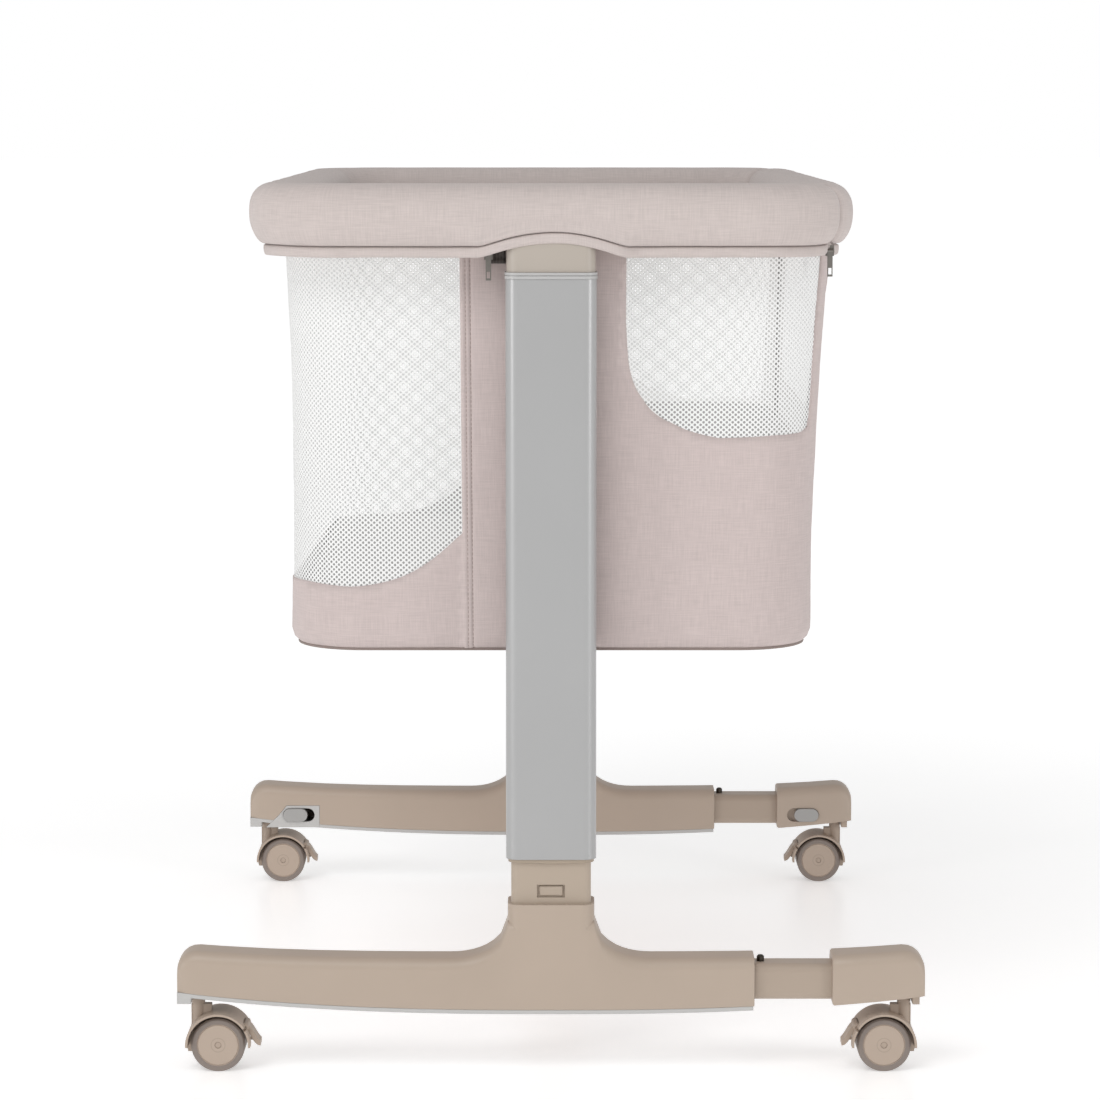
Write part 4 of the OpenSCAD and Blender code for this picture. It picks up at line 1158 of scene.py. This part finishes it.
for name, path in (("zip_tape_near", zip_near), ("zip_tape_far", zip_far)):
    tape(name, path, 0.011, -0.0035, zip_coil)
tape(
    "band_zip_end", [(near_s(-0.0595), h_at(0.7605)), (near_s(-0.042), h_at(0.7605))], 0.012,
    0.0012, zip_coil,
)


# ---- Padded rim ---------------------------------------------------------------------------
# Foam round the rim tube in a sleeve of the same heathered linen, sewn shut in a groove along
# its lower outer edge with a 10 mm band below. It comes in two lengths, the fixed U and the
# drop side's own, and is cut up in an arch over each post.

rim_low, rim_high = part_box("rim_padding")
RIM_HALF_W = -rim_low[0]
RIM_HALF_L = rim_high[1]
RIM_R = 0.100
RIM_TOP = rim_high[2]
RIM_SIDE = RIM_HALF_L - RIM_R
RIM_END = RIM_HALF_W - RIM_R
RIM_ARC = RIM_R * math.pi / 2
RIM_ROUND = 4 * (RIM_SIDE + RIM_END + RIM_ARC)
CUT_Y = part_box("drop_rail_padding")[1][1]
cut_angle = math.acos((CUT_Y + 0.009 - RIM_SIDE) / RIM_R)
RIM_CUT = RIM_SIDE + RIM_ARC + 2 * RIM_END + RIM_R * cut_angle

# Section of the padding: distance inward from the outer face, and depth below the top
SECTION = (
    (0.0118, 0.0566), (0.0076, 0.0532), (0.0040, 0.0475), (0.0014, 0.0405), (0.0002, 0.0330),
    (0.0000, 0.0260), (0.0009, 0.0180), (0.0036, 0.0110), (0.0085, 0.0052), (0.0155, 0.0014),
    (0.0230, 0.0000), (0.0320, 0.0000), (0.0410, 0.0014), (0.0485, 0.0050), (0.0540, 0.0115),
    (0.0570, 0.0205), (0.0580, 0.0310), (0.0574, 0.0420), (0.0545, 0.0505), (0.0485, 0.0560),
    (0.0400, 0.0584), (0.0300, 0.0594), (0.0225, 0.0604), (0.0186, 0.0640), (0.0180, 0.0668),
    (0.0162, 0.0678), (0.0140, 0.0669), (0.0131, 0.0630), (0.0133, 0.0590), (0.0150, 0.0580),
    (0.0180, 0.0575),
)


def smooth_loop(points, per):
    """A closed smooth curve through points."""
    p = np.array(points)
    out = []
    for i in range(len(p)):
        a, b, c, d = (p[(i + k) % len(p)] for k in (-1, 0, 1, 2))
        for t in np.arange(per) / per:
            out.append(between(a, b, c, d, t))
    return np.array(out)


section = smooth_loop(SECTION, 2)
ARCH_HALF = 0.068
ARCH_MIDDLE = 0.002
ARCH_RISE = 0.0134


def padding(name, s0, s1, body, seed, step=0.0055):
    """Sweeps the padding's section along the rim from s0 to s1, with drawn-in sewn ends."""
    n = int((s1 - s0) / step)
    s = s0 + (s1 - s0) * np.arange(n + 1) / n
    m = len(section)
    v = np.concatenate([[0], np.cumsum(np.hypot(*np.diff(section, axis=0).T))])
    S, V = np.meshgrid(s, v, indexing="ij")
    u, down = (np.broadcast_to(section[:, k], S.shape).copy() for k in (0, 1))
    x, y, nx, ny = around(S, RIM_HALF_W, RIM_HALF_L, RIM_R)
    q = np.clip(1 - ((x - ARCH_MIDDLE) / ARCH_HALF) ** 2, 0, 1)
    lift = np.where(np.abs(ny) > 0.99, ARCH_RISE * q ** 1.2, 0)
    outer = np.clip((0.050 - u) / 0.02, 0, 1)
    low = np.clip((down - 0.028) / 0.022, 0, 1)
    down -= lift * low * low * (3 - 2 * low) * outer
    over = np.clip((0.080 - np.abs(x - ARCH_MIDDLE)) / 0.024, 0, 1)
    over = np.where(np.abs(ny) > 0.99, over * over * (3 - 2 * over), 0)
    u -= 0.0118 * over * low * np.clip((0.024 - u) / 0.004, 0, 1)
    end = np.minimum(S - s0, s1 - S)
    closing = 1 - 0.15 * np.exp(-(end / 0.0045) ** 2) - 0.02 * np.exp(-(end / 0.02) ** 2)
    u = 0.029 + (u - 0.029) * closing
    down = 0.029 + (down - 0.029) * closing
    wave = 0.0009 * ripple(S, V, seed, 0.06) + 0.0003 * ripple(S, V, seed + 3, 0.02)
    seam = np.exp(-((down - lift * low - 0.052) / 0.008) ** 2) * outer
    pucker = 0.0006 * ripple(S, V * 0.15, seed + 9, 0.011) * seam
    soft = np.clip(down / 0.01, 0, 1) * np.clip(u / 0.004 + 0.2, 0, 1)
    u = u - (wave * 0.6 + pucker) * soft
    u = np.clip(u, 0.0, 0.06)
    down = np.clip(down - wave * 0.5, 0.0, None)
    points = np.stack([x - nx * u, y - ny * u, RIM_TOP - down], axis=-1).reshape(-1, 3)
    faces = [
        (i * m + j, (i + 1) * m + j, (i + 1) * m + (j + 1) % m, i * m + (j + 1) % m)
        for i in range(n) for j in range(m)
    ]
    uv = np.stack([S, V], axis=-1).reshape(-1, 2)
    for i, order in ((0, 1), (n, -1)):
        middle = points[i * m:(i + 1) * m].mean(axis=0)
        points = np.vstack([points, middle])
        uv = np.vstack([uv, [s[i] + 0.03, 0.08]])
        last = len(points) - 1
        faces += [
            (last, i * m + j, i * m + (j + 1) % m)[::order] for j in range(m)
        ]
    return sewn_piece(name, points, faces, uv, [rim_linen], body)


# The rim's linen is the cover's, pulled over foam, so its threads open up a little.
rim_linen = linen("rim_linen_polyester", "#c3b8b4", slub=0.085)
rim_fixed = padding("rim_padding_fixed", -RIM_CUT, RIM_CUT, "cradle", 2.0)
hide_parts("rim_padding")
rim_drop = padding("rim_padding_drop_side", RIM_CUT, RIM_ROUND - RIM_CUT, "drop_side", 4.0)
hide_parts("drop_rail_padding")


# ---- Mattress -----------------------------------------------------------------------------
# A 25 mm foam pad in a pale grey knitted cover with a piped edge, lying on the base board.
# Its top is slightly uneven and its corners follow the basket.

mattress_low, mattress_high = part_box("mattress")


def knitted(name, colour):
    """Fine jersey: rows of small loops 1.4 mm apart, soft and matt, with painted shade between
    them.
    """
    material, tree, shader = start_material(name, Roughness=0.9, IOR=1.45, Sheen_Weight=0.15)
    cloth = add(tree, "UVMap", {}, uv_map="cloth").outputs[0]
    loops = add(
        tree, "TexVoronoi", {"Vector": cloth, "Scale": 700.0, "Randomness": 0.25}
    )
    # Painted shade: the colour darkens from the middle of each loop to its edge, where the bump
    # dips.
    tone = add(
        tree, "MapRange", {"Value": loops.outputs["Distance"], "To Min": 1.02, "To Max": 0.9}
    )
    surface(
        tree, shader, colour, tone,
        {"Strength": 0.4, "Distance": 0.0003, "Height": loops.outputs["Distance"]}, invert=True,
    )
    return material


# Jersey over foam reads as a smooth pale grey surface with a fine grain.
mattress_jersey = knitted("mattress_jersey_grey", "#a8a7a5")
half_w, half_l = mattress_high[0], mattress_high[1]
edge_profile = (
    (0.0060, 0.0), (0.0022, 0.0016), (0.0006, 0.0050), (0.0022, 0.0125), (0.0006, 0.0200),
    (0.0022, 0.0234), (0.0060, 0.0248), (0.020, 0.0249), (0.05, 0.0247), (0.09, 0.0249),
    (0.13, 0.025), (0.17, 0.025), (0.20, 0.025),
)
steps_round = 260
corner = max(half_w - (BASKET_HALF_W - BASKET_R), 0.04)
length = 4 * (half_l + half_w - 2 * corner) + 2 * math.pi * corner
s = np.arange(steps_round) / steps_round * length
points, uv, faces = [], [], []
thick = mattress_high[2] - mattress_low[2]
for k, (inset, rise) in enumerate(edge_profile):
    x, y, nx, ny = around(s, half_w, half_l, corner)
    bx = x - nx * min(inset, corner - 0.001)
    by = y - ny * min(inset, corner - 0.001)
    more = max(inset - corner + 0.001, 0)
    bx = np.sign(bx) * np.clip(np.abs(bx) - more, 0.0, None)
    by = np.sign(by) * np.clip(np.abs(by) - more, 0.0, None)
    uneven = 0.0006 * ripple(bx, by, 6.0, 0.07) if rise > 0.02 else 0 * bx
    z = mattress_low[2] + rise * thick / 0.025 - np.abs(uneven)
    points.append(np.stack([bx, by, z], axis=-1))
    uv.append(np.stack([bx + rise, by], axis=-1))
    if k:
        a, b = (k - 1) * steps_round, k * steps_round
        faces += [
            (a + i, a + (i + 1) % steps_round, b + (i + 1) % steps_round, b + i)
            for i in range(steps_round)
        ]
last = (len(edge_profile) - 1) * steps_round
faces.append(tuple(last + i for i in range(steps_round)))
faces.append(tuple(i for i in range(steps_round))[::-1])
mattress = sewn_piece(
    "mattress_pad", np.concatenate(points), faces, np.concatenate(uv), [mattress_jersey],
    "cradle",
)
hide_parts("mattress")


# ---- Studio -------------------------------------------------------------------------------
# A satin white floor that glows a little, a soft lamp above and a smaller one at each side.
# The white surround is brighter to the camera than it is as a light.

floor_mesh = bpy.data.meshes.new("floor")
floor_mesh.from_pydata(
    [(-30, -12, 0), (30, -12, 0), (30, 60, 0), (-30, 60, 0)], [], [(0, 1, 2, 3)]
)
floor = bpy.data.objects.new("floor", floor_mesh)
bpy.context.scene.collection.objects.link(floor)
floor_paint, floor_tree, floor_shader = start_material(
    "studio_floor_white", Roughness=0.28, IOR=1.4, Base_Color=(0.95, 0.95, 0.95, 1.0),
    Emission_Color=(1.0, 1.0, 1.0, 1.0),
)
away = add(
    floor_tree, "VectorMath", {0: add(floor_tree, "TexCoord", {}).outputs["Object"]},
    operation="LENGTH",
)
glow = add(
    floor_tree, "MapRange",
    {"Value": away.outputs["Value"], "From Min": 0.9, "From Max": 2.6, "To Min": 0.36,
     "To Max": 0.5},
)
floor_tree.links.new(glow.outputs[0], floor_shader.inputs["Emission Strength"])
floor_mesh.materials.append(floor_paint)

world = bpy.data.worlds.new("studio")
world.use_nodes = True
sky = world.node_tree
sky.nodes["Background"].inputs["Color"].default_value = (1.0, 1.0, 1.0, 1.0)
sky.nodes["Background"].inputs["Strength"].default_value = 0.55
backdrop = add(sky, "Background", {"Color": (1.0, 1.0, 1.0, 1.0), "Strength": 1.0})
seen = add(sky, "LightPath", {})
both_skies = add(
    sky, "MixShader",
    {0: seen.outputs["Is Camera Ray"], 1: sky.nodes["Background"].outputs[0],
     2: backdrop.outputs[0]},
)
sky.links.new(both_skies.outputs[0], sky.nodes["World Output"].inputs["Surface"])
bpy.context.scene.world = world
bpy.context.scene.view_settings.view_transform = "Standard"


def lamp(name, place, target, size, power):
    """A large soft lamp aimed at a point."""
    light = bpy.data.lights.new(name, "AREA")
    light.size = size
    light.energy = power
    holder = bpy.data.objects.new(name, light)
    holder.location = place
    aim = Vector(target) - Vector(place)
    holder.rotation_euler = aim.to_track_quat("-Z", "Y").to_euler()
    bpy.context.scene.collection.objects.link(holder)


lamp("key_soft_box", (-1.2, -3.0, 3.6), (0.0, 0.0, 0.5), 1.8, 48.0)
lamp("left_strip", (-3.2, -2.4, 0.9), (0.0, -0.45, 0.5), 0.8, 20.0)
lamp("right_strip", (3.2, -2.4, 0.9), (0.0, -0.45, 0.5), 0.8, 20.0)

camera_data = bpy.data.cameras.new("camera")
camera_data.lens = 128.5
camera_data.sensor_width = 36.0
camera_data.sensor_fit = "HORIZONTAL"
camera_data.dof.use_dof = False
camera = bpy.data.objects.new("camera", camera_data)
camera.location = (-0.001, -4.0726, 0.9017)
camera.rotation_euler = (math.radians(90 - 6.486), 0.0, 0.0)
bpy.context.scene.collection.objects.link(camera)
bpy.context.scene.camera = camera
